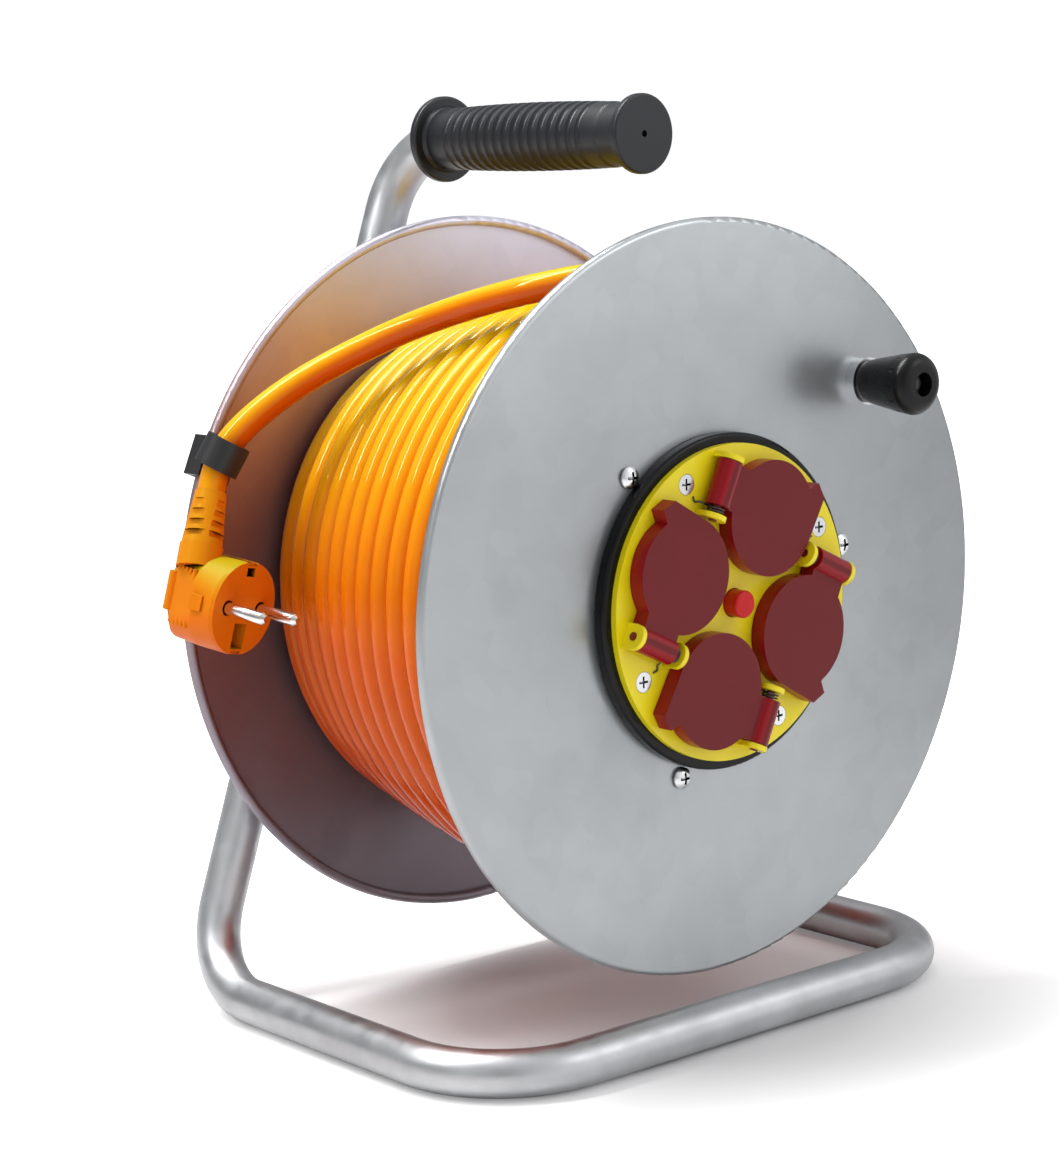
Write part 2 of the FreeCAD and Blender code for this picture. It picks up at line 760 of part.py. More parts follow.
def swept(edges, radius):
    """A solid round bar along a path."""
    path = Part.Wire(edges)
    first = edges[0]
    start = first.valueAt(first.FirstParameter)
    way = first.tangentAt(first.FirstParameter)
    section = Part.Wire(Part.makeCircle(radius, start, way))
    shell = Part.BRepOffsetAPI.MakePipeShell(path)
    shell.add(section)
    shell.build()
    shell.makeSolid()
    return shell.shape()


def feature(label, shape, placement=None):
    item = doc.addObject("Part::Feature", label)
    item.Shape = shape
    if placement is not None:
        item.Placement = placement
    return part(item, label)


tube_radius = tube_diameter / 2
grip_x = leg_slope * (axle_height + grip_height - tube_radius) - stand_half_width
right_end_z = axle_height + right_leg_top
right_end_x = stand_half_width - leg_slope * (right_end_z - tube_radius)
grip_front = grip_length - grip_rear


def stand_tube():
    """One bent tube: grip, left leg, floor loop and the shorter right leg, drilled for the bolts."""
    front = (drum_y - grip_front + grip_disc + 0.2).value
    leg_y = (drum_y + leg_reach).value
    front_y = (drum_y - front_tube_reach).value
    side = stand_half_width.value
    low = tube_radius.value
    top = (axle_height + grip_height).value
    points = [
        Vector(grip_x.value, front, top),
        Vector(grip_x.value, leg_y, top),
        Vector(-side, leg_y, low),
        Vector(-side, front_y, low),
        Vector(side, front_y, low),
        Vector(side, leg_y, low),
        Vector(right_end_x.value, leg_y, right_end_z.value),
    ]
    radii = [bend_top.value, bend_rear.value, bend_front.value, bend_front.value, bend_rear.value]
    edges = rounded_path(points, radii)
    outside = swept(edges, tube_radius.value)
    shape = outside.cut(swept(edges, tube_radius.value - tube_wall.value))
    for x in (-leg_x.value, leg_x.value):
        start = Vector(x, leg_y - tube_diameter.value, axle_height.value)
        hole = Part.makeCylinder(bolt_diameter.value / 2 + 0.2, tube_diameter.value * 2, start, Vector(0, 1, 0))
        shape = shape.cut(hole)
    feature("stand_tube", shape)


def tube_end_cap():
    lean = Rotation(Vector(0, 1, 0), -math.degrees(math.atan(leg_slope.value)))
    cap = fuse(cylinder(tube_radius, Size(3)), cylinder(tube_radius - tube_wall, Size(12), z=-12))
    place(cap, right_end_x, drum_y + leg_reach, right_end_z, lean)
    part(cap, "tube_end_cap")


def handle_grip():
    bore = tube_radius + 0.05
    rib_root = tube_radius + grip_wall
    rear = -grip_rear
    rib_start = rear + grip_disc + 10
    neck_start = grip_front - grip_disc - grip_neck_length
    swell = (grip_crown - grip_neck) / 2 - 0.5
    shoulder = grip_neck / 2 + 0.5
    span = neck_start - rib_start
    crown_arc = span * span / (swell * 8) + swell / 2
    flare = bore + 0.9
    body = body_of("handle_grip")
    revolve(body, [
        (bore, rear + 9),
        (flare, rear + 7.5),
        (flare, rear),
        (grip_rear_disc / 2 - 1, rear),
        (grip_rear_disc / 2, rear + 1, 1, 1),
        (grip_rear_disc / 2, rear + grip_disc - 1),
        (grip_rear_disc / 2 - 1, rear + grip_disc, 1, 1),
        (shoulder + 1, rear + grip_disc),
        (shoulder, rear + grip_disc + 1.5),
        (shoulder, rib_start),
        (shoulder, neck_start, crown_arc, 1),
        (grip_neck / 2, neck_start + 1),
        (grip_neck / 2, grip_front - grip_disc),
        (grip_front_disc / 2 - 1, grip_front - grip_disc),
        (grip_front_disc / 2, grip_front - grip_disc + 1, 1, 1),
        (grip_front_disc / 2, grip_front - 1),
        (grip_front_disc / 2 - 1, grip_front, 1, 1),
        (Size(1.3), grip_front),
        (Size(1.3), grip_front - grip_disc + 0.2),
        (bore, grip_front - grip_disc + 0.2),
    ])
    valley = rib_start + rib_pitch - rib_groove / 2
    rise = grip_crown / 2 + 0.6 - rib_root
    shares = [i / 4 for i in range(-4, 5)]
    ring = groove(body, [(rib_root + rise * (share * share), valley + rib_groove / 2 * share) for share in shares])
    pattern = body.newObject("PartDesign::LinearPattern", "ribs")
    pattern.Originals = [ring]
    for axis in body.Origin.OriginFeatures:
        if axis.Role == "Z_Axis":
            pattern.Direction = (axis, [""])
    bind(pattern, "Length", rib_pitch * (rib_count - 2))
    pattern.Occurrences = rib_count - 1
    body.Tip = pattern
    place(body, grip_x, drum_y, axle_height + grip_height, DRUM_TURN)
    part(body, "handle_grip")


axle()
axle_bracket()
leg_bolts()
stand_tube()
tube_end_cap()
handle_grip()


def root(amount):
    amount = as_size(amount)
    value = math.sqrt(amount.value)
    return Size(value) if amount.fixed else Size(value, "sqrt(" + amount.text + ")")


def turned_point(v, u, angle):
    """The place of a point given along (v) and across (u) the radius at an angle."""
    v, u = as_size(v), as_size(u)
    return v * cosine(angle) - u * sine(angle), v * sine(angle) + u * cosine(angle)


def along_radius(angle):
    """Turns a cylinder's axis onto the radius at an angle."""
    return Rotation(Z_UP, float(angle)).multiply(Rotation(Vector(0, 1, 0), 90))


bezel_radius = bezel_diameter / 2
plate_radius = plate_diameter / 2
cup_inside = cup_radius - cup_wall
boss_radius = 4
well_radius = well_diameter / 2
well_back = plate_face - well_depth - well_floor
carrier_front = well_back - sleeve_length
carrier_radius = cup_inside - 0.6
gland_radius = Size(37)
gland_hole = cable_diameter / 2 + 2.5
hinge_level = plate_face + 0.4 + barrel_diameter / 2
lug_inner = barrel_start - spring_space - lug_thickness
lug_outer = barrel_start + barrel_length + seat_gap


def insert_housing():
    """The black cup with its bezel, held in the flange by four snap lugs."""
    seat = front_face + gasket_thickness
    body = body_of("insert_housing")
    revolve(body, [
        (0, cup_back),
        (cup_radius, cup_back),
        (cup_radius, seat),
        (bezel_radius, seat),
        (bezel_radius, bezel_face - 1.5),
        (bezel_radius - 1.5, bezel_face, 1.5, 1),
        (cup_inside, bezel_face),
        (cup_inside, cup_floor),
        (0, cup_floor),
    ])
    u, v = polar(plate_screw_radius, plate_screw_angle)
    bosses = sketch_on(body, "XY_Plane", "bosses", cup_floor - 0.5)
    circle(bosses, u, v, boss_radius)
    polar_copies(body, pad(body, bosses, bezel_face - cup_floor + 0.5), 4)
    pilots = sketch_on(body, "XY_Plane", "pilots", bezel_face + 1)
    circle(pilots, u, v, Size(1.5))
    polar_copies(body, pocket(body, pilots, Size(16)), 4)
    snaps = sketch_on(body, "XY_Plane", "snaps", front_inside - 3.2)
    outline(snaps, [(cup_radius - 1, -5), (cup_radius + 2.4, -5), (cup_radius + 2.4, 5), (cup_radius - 1, 5)])
    polar_copies(body, pad(body, snaps, Size(3)), 4)
    outlet = sketch_on(body, "XY_Plane", "cable_outlet", cup_floor + 1)
    u, v = polar(gland_radius, cable_hole_angle)
    circle(outlet, u, v, gland_hole)
    pocket(body, outlet, cup_wall + 2)
    on_drum(body, "insert_housing")
    ring = cut(cylinder(bezel_radius - 0.4, gasket_thickness, z=front_face),
               cylinder(cup_radius + 1, gasket_thickness, z=front_face))
    on_drum(ring, "bezel_gasket")


def socket_plate():
    """The yellow plate: four wells with pin holes and earth slots, and a pair of lugs for each cover."""
    body = body_of("socket_plate_moulding")
    disc = sketch_on(body, "XY_Plane", "disc", bezel_face)
    circle(disc, 0, 0, plate_radius)
    pad(body, disc, plate_thickness)
    u, v = polar(socket_radius, socket_angle)
    walls = sketch_on(body, "XY_Plane", "well_walls", well_back)
    circle(walls, u, v, well_radius + well_wall)
    polar_copies(body, pad(body, walls, bezel_face - well_back + 0.5), 4)
    wells = sketch_on(body, "XY_Plane", "wells", plate_face)
    circle(wells, u, v, well_radius)
    polar_copies(body, pocket(body, wells, well_depth), 4)
    holes = sketch_on(body, "XY_Plane", "pin_holes", plate_face - well_depth)
    for side in (-1, 1):
        u, v = polar(socket_radius + pin_spacing / 2 * side, socket_angle)
        circle(holes, u, v, pin_hole / 2)
    polar_copies(body, pocket(body, holes, well_floor + 1), 4)
    centre = sketch_on(body, "XY_Plane", "button_hole", plate_face + 1)
    circle(centre, 0, 0, button_diameter / 2 + 0.35)
    pocket(body, centre, plate_thickness + 2)
    u, v = polar(plate_screw_radius, plate_screw_angle)
    seats = sketch_on(body, "XY_Plane", "screw_seats", plate_face)
    circle(seats, u, v, Size(4))
    polar_copies(body, pocket(body, seats, Size(1.8)), 4)
    shanks = sketch_on(body, "XY_Plane", "screw_shanks", plate_face)
    circle(shanks, u, v, Size(1.8))
    polar_copies(body, pocket(body, shanks, plate_thickness + 1), 4)

    lugs = []
    tools = []
    lug_half = barrel_diameter / 2 + 0.2
    for angle in socket_angles:
        turn = Rotation(Z_UP, angle.value)
        for start in (lug_inner, lug_outer):
            u, v = turned_point(start, hinge_offset, angle)
            lugs.append(cylinder(lug_half, lug_thickness, u, v, hinge_level, along_radius(angle)))
            u, v = turned_point(start, hinge_offset - lug_half, angle)
            lugs.append(block(lug_thickness, lug_half * 2, hinge_level - plate_face + 0.5,
                              u, v, plate_face - 0.5, turn))
        u, v = turned_point(lug_inner - 1, hinge_offset, angle)
        hole = hinge_pin_diameter / 2 + 0.03
        tools.append(cylinder(hole, lug_outer - lug_inner + lug_thickness + 2, u, v, hinge_level,
                              along_radius(angle)))
        for side in (-1, 1):
            slot_outer = (well_radius + earth_clip_sheet + 0.3) * side
            slot_side = slot_outer if side < 0 else well_radius - 1
            u, v = turned_point(socket_radius - earth_clip_width / 2 - 0.2, slot_side, angle)
            depth = earth_clip_sheet + 1.3
            tools.append(block(earth_clip_width + 0.4, depth, bezel_face - well_back + 1,
                               u, v, well_back - 1, turn))
    on_drum(cut(fuse(body, *lugs), fuse(*tools)), "socket_plate")


def plate_screws():
    screws = []
    for i in range(4):
        u, v = polar(plate_screw_radius, plate_screw_angle + 90 * i)
        shank = cylinder(Size(1.5), Size(15), u, v, plate_face - 16)
        head = cone(Size(1.5), Size(3.8), Size(1.7), u, v, plate_face - 1.7)
        slots = [block(Size(4.4), Size(0.9), Size(2), u, v, plate_face - 1),
                 block(Size(0.9), Size(4.4), Size(2), u, v, plate_face - 1)]
        screws.append(cut(fuse(shank, head), *slots))
    on_drum(group(*screws), "plate_screws")


def contacts():
    """The carrier behind the wells, the two brass rails with their sleeves, and the earth rail."""
    back = carrier_front - carrier_thickness
    body = body_of("contact_carrier")
    disc = sketch_on(body, "XY_Plane", "disc", back)
    circle(disc, 0, 0, carrier_radius)
    pad(body, disc, carrier_thickness)
    legs = sketch_on(body, "XY_Plane", "legs", cup_floor)
    u, v = polar(cup_inside - 10, plate_screw_angle + 45)
    circle(legs, u, v, Size(3))
    polar_copies(body, pad(body, legs, back - cup_floor + 0.5), 4)
    room = sketch_on(body, "XY_Plane", "boss_room", carrier_front + 1)
    u, v = polar(plate_screw_radius, plate_screw_angle)
    circle(room, u, v, Size(boss_radius + 0.5))
    polar_copies(body, pocket(body, room, carrier_thickness + 2), 4)
    on_drum(body, "contact_carrier")

    ring_base = carrier_front + 4
    bore = pin_diameter / 2 + 0.05
    for label, side in (("live_rail", -1), ("neutral_rail", 1)):
        middle = socket_radius + pin_spacing / 2 * side
        sleeves = []
        bores = []
        for angle in socket_angles:
            u, v = polar(middle, angle)
            sleeves.append(cylinder(sleeve_diameter / 2, sleeve_length, u, v, carrier_front))
            bores.append(cylinder(bore, sleeve_length + 2, u, v, carrier_front - 1))
        ring = cut(cylinder(middle + rail_width / 2, rail_thickness, z=ring_base),
                   cylinder(middle - rail_width / 2, rail_thickness, z=ring_base))
        on_drum(cut(fuse(ring, *sleeves), fuse(*bores)), label)

    clip_reach = well_radius + 0.1
    earth_radius = root(socket_radius * socket_radius + clip_reach * clip_reach)
    earth_base = well_back - 3
    ring = cut(cylinder(earth_radius + 0.8, rail_thickness, z=earth_base),
               cylinder(earth_radius - 2.6, rail_thickness, z=earth_base))
    clips = []
    for angle in socket_angles:
        for side in (-1, 1):
            inner = clip_reach if side > 0 else -(clip_reach + earth_clip_sheet)
            u, v = turned_point(socket_radius - earth_clip_width / 2, inner, angle)
            clips.append(block(earth_clip_width, earth_clip_sheet, bezel_face - earth_base - 2,
                               u, v, earth_base, Rotation(Z_UP, angle.value)))
    on_drum(fuse(ring, *clips), "earth_rail")


cutout_bore = Size(7)
cutout_floor = bezel_face - 10
button_back = bezel_face - 6


def reset_button():
    turn = Rotation(Z_UP, socket_angle.value)
    u, v = turned_point(-cutout_width / 2, -cutout_width / 2, socket_angle)
    case = block(cutout_width, cutout_width, cutout_depth, u, v, bezel_face - cutout_depth, turn)
    on_drum(cut(case, cylinder(cutout_bore, Size(11), z=cutout_floor)), "thermal_cutout")
    radius = button_diameter / 2
    front = plate_face + button_height
    body = body_of("reset_button")
    revolve(body, [
        (0, button_back),
        (radius, button_back),
        (radius, bezel_face - 2),
        (radius + 1.2, bezel_face - 2),
        (radius + 1.2, bezel_face - 0.6),
        (radius, bezel_face - 0.6),
        (radius, front - 1),
        (radius - 1, front, 1, 1),
        (0, front),
    ])
    on_drum(body, "reset_button")


def cover(number, angle):
    """A spring-loaded socket cover with its hinge barrel, finger tab and rubber seal."""
    middle = socket_radius
    radius = cover_diameter / 2
    base = plate_face + 0.3
    top = plate_face + cover_height
    near, far = barrel_start, barrel_start + barrel_length
    neck_end = hinge_offset - 2
    near_rise = root(radius * radius - (middle - near) * (middle - near))
    far_rise = root(radius * radius - (far - middle) * (far - middle))
    lean = math.degrees(math.acos(radius.value / tab_radius.value))
    tangent = tab_angle - lean
    tangent_v, tangent_u = polar(radius, tangent)
    tip_v, tip_u = polar(tab_radius, tab_angle)
    shoulder_v, shoulder_u = polar(tab_radius - 1.2, tab_angle + tab_spread)
    notch_v, notch_u = polar(radius, tab_angle + tab_spread + 1)
    label = "cover_%d" % number
    body = body_of(label)
    shape = sketch_on(body, "XY_Plane", "outline", base)
    outline(shape, [
        (far, neck_end),
        (near, neck_end),
        (near, near_rise),
        (middle - radius, 0, radius, 1),
        (middle + tangent_v, tangent_u, radius, 1),
        (middle + tip_v, tip_u),
        (middle + shoulder_v, shoulder_u),
        (middle + notch_v, notch_u),
        (far, far_rise, radius, 1),
    ])
    pad(body, shape, top - base)
    hollow = sketch_on(body, "XY_Plane", "hollow", base - 1)
    circle(hollow, middle, 0, radius - cover_wall)
    pocket(body, hollow, top - base - cover_top + 1, down=False)
    barrel_turn = Rotation(Vector(0, 1, 0), 90)
    barrel = cylinder(barrel_diameter / 2, barrel_length, near, hinge_offset, hinge_level, barrel_turn)
    bore = cylinder(hinge_pin_diameter / 2 + running_gap, barrel_length + 2, near - 1, hinge_offset,
                    hinge_level, barrel_turn)
    on_drum(cut(fuse(body, barrel), bore), label, angle)

    seal_top = top - cover_top
    pad_disc = cylinder(radius - cover_wall - 0.1, Size(1.6), middle, 0, seal_top - 1.6)
    lip = cut(cylinder(well_radius + 1.1, seal_top - base - 0.6, middle, 0, base + 0.1),
              cylinder(well_radius + 0.3, seal_top - base - 0.6, middle, 0, base + 0.1))
    on_drum(fuse(pad_disc, lip), "cover_seal_%d" % number, angle)


def hinge_pins():
    pins = []
    length = lug_outer + lug_thickness - lug_inner + 1
    for angle in socket_angles:
        u, v = turned_point(lug_inner - 0.5, hinge_offset, angle)
        pins.append(cylinder(hinge_pin_diameter / 2, length, u, v, hinge_level, along_radius(angle)))
    on_drum(group(*pins), "hinge_pins")


insert_housing()
socket_plate()
plate_screws()
contacts()
reset_button()
for number, angle in enumerate(socket_angles):
    cover(number + 1, angle)
hinge_pins()


def biarc(start, start_way, end, end_way):
    """Two tangent arcs between two points of a curve."""
    chord = end - start
    ways = start_way + end_way
    slack = 2 * (1 - start_way.dot(end_way))
    along = chord.dot(ways)
    reach = (math.sqrt(along * along + slack * chord.dot(chord)) - along) / slack
    joint = (start + end + (start_way - end_way) * reach) * 0.5
    return [tangent_arc(start, start_way, joint), tangent_arc(end, -end_way, joint, True)]


def tangent_arc(start, way, end, backwards=False):
    """The arc that leaves start along way and reaches end."""
    chord = end - start
    across = chord - way * chord.dot(way)
    radius = chord.dot(chord) / (2 * across.Length)
    centre = start + across.normalize() * radius
    middle = centre + ((start - centre) + (end - centre)).normalize() * radius
    if backwards:
        return Part.Arc(end, middle, start).toShape()
    return Part.Arc(start, middle, end).toShape()


def curve_way(curve, turn):
    step = 0.0005
    return (curve(turn + step) - curve(turn - step)).normalize()


def turns_along(curve, turns):
    """Arcs along a coil, two for each part of at most a quarter turn."""
    count = math.ceil(turns * 4)
    edges = []
    for i in range(count):
        first, last = turns * i / count, turns * (i + 1) / count
        edges += biarc(curve(first), curve_way(curve, first), curve(last), curve_way(curve, last))
    return edges


def least_gap(curve, turns, diameter):
    """The least room between one turn and the next, measured on points."""
    steps = 72
    points = [curve(i / steps) for i in range(int(turns * steps) + 1)]
    least = None
    for i, point in enumerate(points):
        for j in range(i + steps // 2, min(i + steps * 3 // 2, len(points))):
            distance = point.distanceToPoint(points[j]) - diameter
            least = distance if least is None or distance < least else least
    return least


def report_tube(label, shape, edges, radius):
    length = sum(edge.Length for edge in edges)
    expected = math.pi * radius * radius * length
    print(label, "length %.1f mm, volume %.0f, section x length %.0f" % (length, shape.Volume, expected))


def spring_coil(start_turn, pitch, centre):
    """A point on a coil about the local x axis, for each turn."""
    def point(turn):
        angle = math.radians(start_turn + 360 * turn)
        return centre + Vector(pitch * turn, spring_radius.value * math.cos(angle),
                               spring_radius.value * math.sin(angle))
    return point


def hinge_springs():
    """Each spring wraps its hinge pin twice: one leg to the cover's neck, one down to the plate."""
    turns = 2
    wire = spring_wire.value
    pitch = wire + 0.45
    room = spring_space.value - wire - pitch * turns
    floor = plate_face.value
    level = hinge_level.value
    centre = Vector((lug_inner + lug_thickness).value + wire / 2 + room / 2, hinge_offset.value, level)
    coil = spring_coil(-90, pitch, centre)
    start, end = coil(0), coil(turns)
    way = curve_way(coil, 0)
    across = Vector(0, 1, 0)
    bend = start - way * 1.2
    neck_leg = rounded_path([bend - across * 3.6, bend, start], [15])
    bend = end + curve_way(coil, turns) * 1.2
    low = floor + wire / 2 + 0.1
    tail = [end, bend, bend + across * 2.4]
    for v, u in ((0.1, 5.6), (-1.1, 7.0), (0.9, 8.6)):
        tail.append(Vector(end.x + v, end.y + u, low))
    edges = neck_leg + turns_along(coil, turns) + rounded_path(tail, [15] + [wire * 1.6] * 3)
    wire_shape = swept(edges, wire / 2)
    print("hinge spring least gap %.2f mm" % least_gap(coil, turns, wire))
    report_tube("hinge spring", wire_shape, edges, wire / 2)
    springs = []
    for angle in socket_angles:
        turned = DRUM_TURN.multiply(Rotation(Z_UP, angle.value))
        spring = wire_shape.copy()
        spring.Placement = Placement(Vector(0, drum_y.value, axle_height.value), turned)
        springs.append(spring)
    feature("hinge_springs", Part.makeCompound(springs))


def button_spring():
    wire = 0.6
    low = cutout_floor.value + wire / 2 + 0.1
    high = button_back.value - wire / 2 - 0.1
    turns = 2.25
    pitch = (high - low) / turns
    radius = button_diameter.value / 2 - 1.6

    def coil(turn):
        angle = math.radians(360 * turn)
        return Vector(radius * math.cos(angle), radius * math.sin(angle), low + pitch * turn)
    edges = turns_along(coil, turns)
    print("button spring least gap %.2f mm" % least_gap(coil, turns, wire))
    spring = swept(edges, wire / 2)
    report_tube("button spring", spring, edges, wire / 2)
    feature("button_spring", spring, Placement(Vector(0, drum_y.value, axle_height.value), DRUM_TURN))


def crank_knob():
    """The knob turns on a bolt from inside the flange; its nut sits in the knob's recess."""
    u, v = polar(knob_radius, knob_angle)
    cup_top = front_face + knob_cup_height
    base = cup_top + seat_gap
    end = base + knob_length
    floor = end - knob_recess_depth
    bore = knob_bolt / 2 + running_gap
    middle = base + knob_length * 0.62
    body = body_of("crank_knob")
    revolve(body, [
        (bore, base),
        (knob_base / 2, base),
        (knob_end / 2 - 0.7, middle),
        (knob_end / 2, end - knob_round),
        (knob_end / 2 - knob_round, end, knob_round, 1),
        (knob_recess / 2, end),
        (knob_recess / 2, floor),
        (bore, floor),
    ])
    flutes = sketch_on(body, "XY_Plane", "flutes", base + 4)
    circle(flutes, knob_end / 2 + 1.3, 0, Size(1.9))
    polar_copies(body, pocket(body, flutes, knob_length - knob_round - 6, down=False), 12)
    place(body, u, drum_y, axle_height + v, DRUM_TURN)
    part(body, "crank_knob")

    cup = cut(cylinder(knob_cup / 2, knob_cup_height, z=front_face),
              cylinder(knob_bolt / 2 + 0.1, knob_cup_height, z=front_face))
    place(cup, u, drum_y, axle_height + v, DRUM_TURN)
    part(cup, "knob_cup")
    nut_base = floor + seat_gap
    bolt = fuse(cylinder(knob_bolt, Size(1.2), z=front_inside - 1.2),
                cylinder(knob_bolt / 2, nut_base - front_inside, z=front_inside),
                cylinder(knob_thread / 2, knob_nut_height + 1, z=nut_base))
    place(bolt, u, drum_y, axle_height + v, DRUM_TURN)
    part(bolt, "knob_bolt")
    nut = cut(hexagon(knob_nut_flats, knob_nut_height, z=nut_base),
              cylinder(knob_thread / 2, knob_nut_height, z=nut_base))
    place(nut, u, drum_y, axle_height + v, DRUM_TURN)
    part(nut, "knob_nut")


cable_radius = cable_diameter / 2
wound_span = (half_width - cable_radius - sheet_steel - 0.5) * 2


def cable_level(turn):
    return wound_span.value * (turn / wound_turns.value - 0.5)


def cable_centre(turn):
    """The cable's centre in the drum frame, for turns counted from the back flange."""
    share = min(max(turn / wound_turns.value, 0), 1)
    radius = wound_low.value + wound_rise.value * math.sin(math.radians(90 * share))
    angle = math.radians(wound_end_angle.value + 360 * (turn - wound_turns.value))
    radius -= 12 * max(0.0, 1 - turn / 0.25) ** 2
    return Vector(radius * math.cos(angle), radius * math.sin(angle), cable_level(turn))


def winding():
    """The outer layer as one tube over a plain core that stands for the layers below."""
    turns = wound_turns.value
    way = curve_way(cable_centre, turns)
    end = cable_centre(turns)
    first_way = curve_way(cable_centre, 0)
    start = cable_centre(0)
    run = cable_diameter.value
    edges = [Part.LineSegment(start - first_way * run, start).toShape()]
    edges += turns_along(cable_centre, turns)
    edges.append(Part.LineSegment(end, end + way * run).toShape())
    tube = swept(edges, cable_radius.value)
    report_tube("winding layer", tube, edges, cable_radius.value)
    print("winding least gap %.2f mm" % least_gap(cable_centre, turns, cable_diameter.value))
    stand = Placement(Vector(0, drum_y.value, axle_height.value), DRUM_TURN)
    feature("winding_layer", tube, stand)

    low = back_inside.value + 0.3
    high = front_inside.value - 1.5
    steps = 8
    rise = wound_rise.value * math.pi / 2 / wound_span.value
    profile = []
    for i in range(steps + 1):
        level = low + (high - low) * i / steps
        share = min(max(level / wound_span.value + 0.5, 0), 1)
        slope = rise * math.cos(math.radians(90 * share))
        lift = (cable_radius.value + 0.1) * math.sqrt(1 + slope * slope)
        radius = wound_low.value + wound_rise.value * math.sin(math.radians(90 * share)) - lift
        profile.append(Vector(radius, 0, level))
    bore = core_radius.value + 0.1
    corners = [Vector(bore, 0, low)] + profile + [Vector(bore, 0, high)]
    face = Part.Face(Part.makePolygon(corners + corners[:1]))
    feature("winding_core", face.revolve(Vector(0, 0, 0), Z_UP, 360), stand)
    return end + way * run, way


def to_world(point):
    """A drum-frame point in the world frame."""
    return Vector(point.x, drum_y.value - point.z, axle_height.value + point.y)


def beside_drum(x, y, z):
    """A point given right of, behind and above the drum's centre."""
    return Vector(x, drum_y.value + y, axle_height.value + z)


relief_top = beside_drum(relief_x.value, (half_width - relief_setback).value, relief_z.value)
last_bend = relief_top + Vector(3.6, 1.8, 8.8)
# Points of the free cable: across, along the axis as a share of half the drum's width, and up
lead_route = [(-25, -0.8933, 124), (-42, -0.7333, 124.5), (-54.5, -0.48, 120.4), (-61, -0.24, 116.2),
              (-66, 0.027, 110.8), (-75, 0.267, 104), (-89, 0.473, 94.6), (-105, 0.62, 84.6),
              (-120.5, 0.707, 73.6), (-131.6, 0.757, 63.2)]


def cord_radii(points):
    radii = []
    for i in range(1, len(points) - 1):
        before, after = points[i] - points[i - 1], points[i + 1] - points[i]
        turn = before.getAngle(after)
        radii.append(0.45 * min(before.Length, after.Length) / math.tan(turn / 2))
    return radii


def cord_lead(start, way):
    """The free cable from the last turn over the winding, through the clip and to the plug."""
    points = [start, start + way * 16]
    points += [beside_drum(x, share * half_width.value, z) for x, share, z in lead_route]
    points += [last_bend, relief_top]
    radii = cord_radii(points)
    print("lead radii", ["%.0f" % radius for radius in radii])
    edges = rounded_path(points, radii)
    tube = swept(edges, cable_radius.value)
    report_tube("lead", tube, edges, cable_radius.value)
    feature("cord_lead", tube)
    return points


def cord_clip(points):
    """A plastic clip: a jaw over the back rim and a ring round the cable."""
    upper, lower = points[-3], points[-2]
    cable_way = (lower - upper).normalize()
    centre = upper + cable_way * ((lower - upper).Length * 0.5)
    wall = clip_wall.value
    bore = cable_radius.value + 0.9
    length = clip_length.value * 0.75
    base = centre - cable_way * (length / 2)
    ring = Part.makeCylinder(bore + wall, length, base, cable_way)
    hollow = Part.makeCylinder(bore, length + 4, base - cable_way * 2, cable_way)
    outer = drum_radius.value + 0.3
    inner = drum_radius.value - 12
    front = rim_depth.value - half_width.value + 0.3
    back = -half_width.value - 0.3
    half_across = clip_length.value / 2
    legs = Part.makeBox(outer + wall - inner, half_across * 2, front - back + wall * 2,
                        Vector(inner, -half_across, back - wall))
    gap = Part.makeBox(outer - inner + 2, half_across * 2 + 2, front - back,
                       Vector(inner - 2, -half_across - 1, back))
    jaw = legs.cut(gap)
    turned = DRUM_TURN.multiply(Rotation(Z_UP, clip_angle.value))
    jaw.Placement = Placement(Vector(0, drum_y.value, axle_height.value), turned)
    feature("cord_clip", jaw.fuse(ring).cut(hollow).removeSplitter())


X_WAY = Vector(1, 0, 0)
Y_WAY = Vector(0, 1, 0)
PLUG_TURN = Rotation(X_WAY, 6).multiply(Rotation(Y_WAY, 12)).multiply(Rotation(Z_UP, 14))
PLUG_TURN = PLUG_TURN.multiply(Rotation(X_WAY, 90))


def rounded_section(width, height, corner, rise, depth):
    """A rounded rectangle behind the plug face, as a wire of four lines and four arcs."""
    half_w, half_h = width / 2, height / 2
    level = -depth
    inset = corner * (1 - math.cos(math.radians(45)))
    edges = []
    corners = []
    for across, up in ((1, 1), (-1, 1), (-1, -1), (1, -1)):
        side_end = Vector(half_w * across, rise + (half_h - corner) * up, level)
        top_end = Vector((half_w - corner) * across, rise + half_h * up, level)
        middle = Vector((half_w - inset) * across, rise + (half_h - inset) * up, level)
        corners.append((side_end, middle, top_end) if across * up > 0 else (top_end, middle, side_end))
    for i, (first, middle, last) in enumerate(corners):
        edges.append(Part.Arc(first, middle, last).toShape())
        edges.append(Part.LineSegment(last, corners[(i + 1) % 4][0]).toShape())
    return Part.Wire(edges)


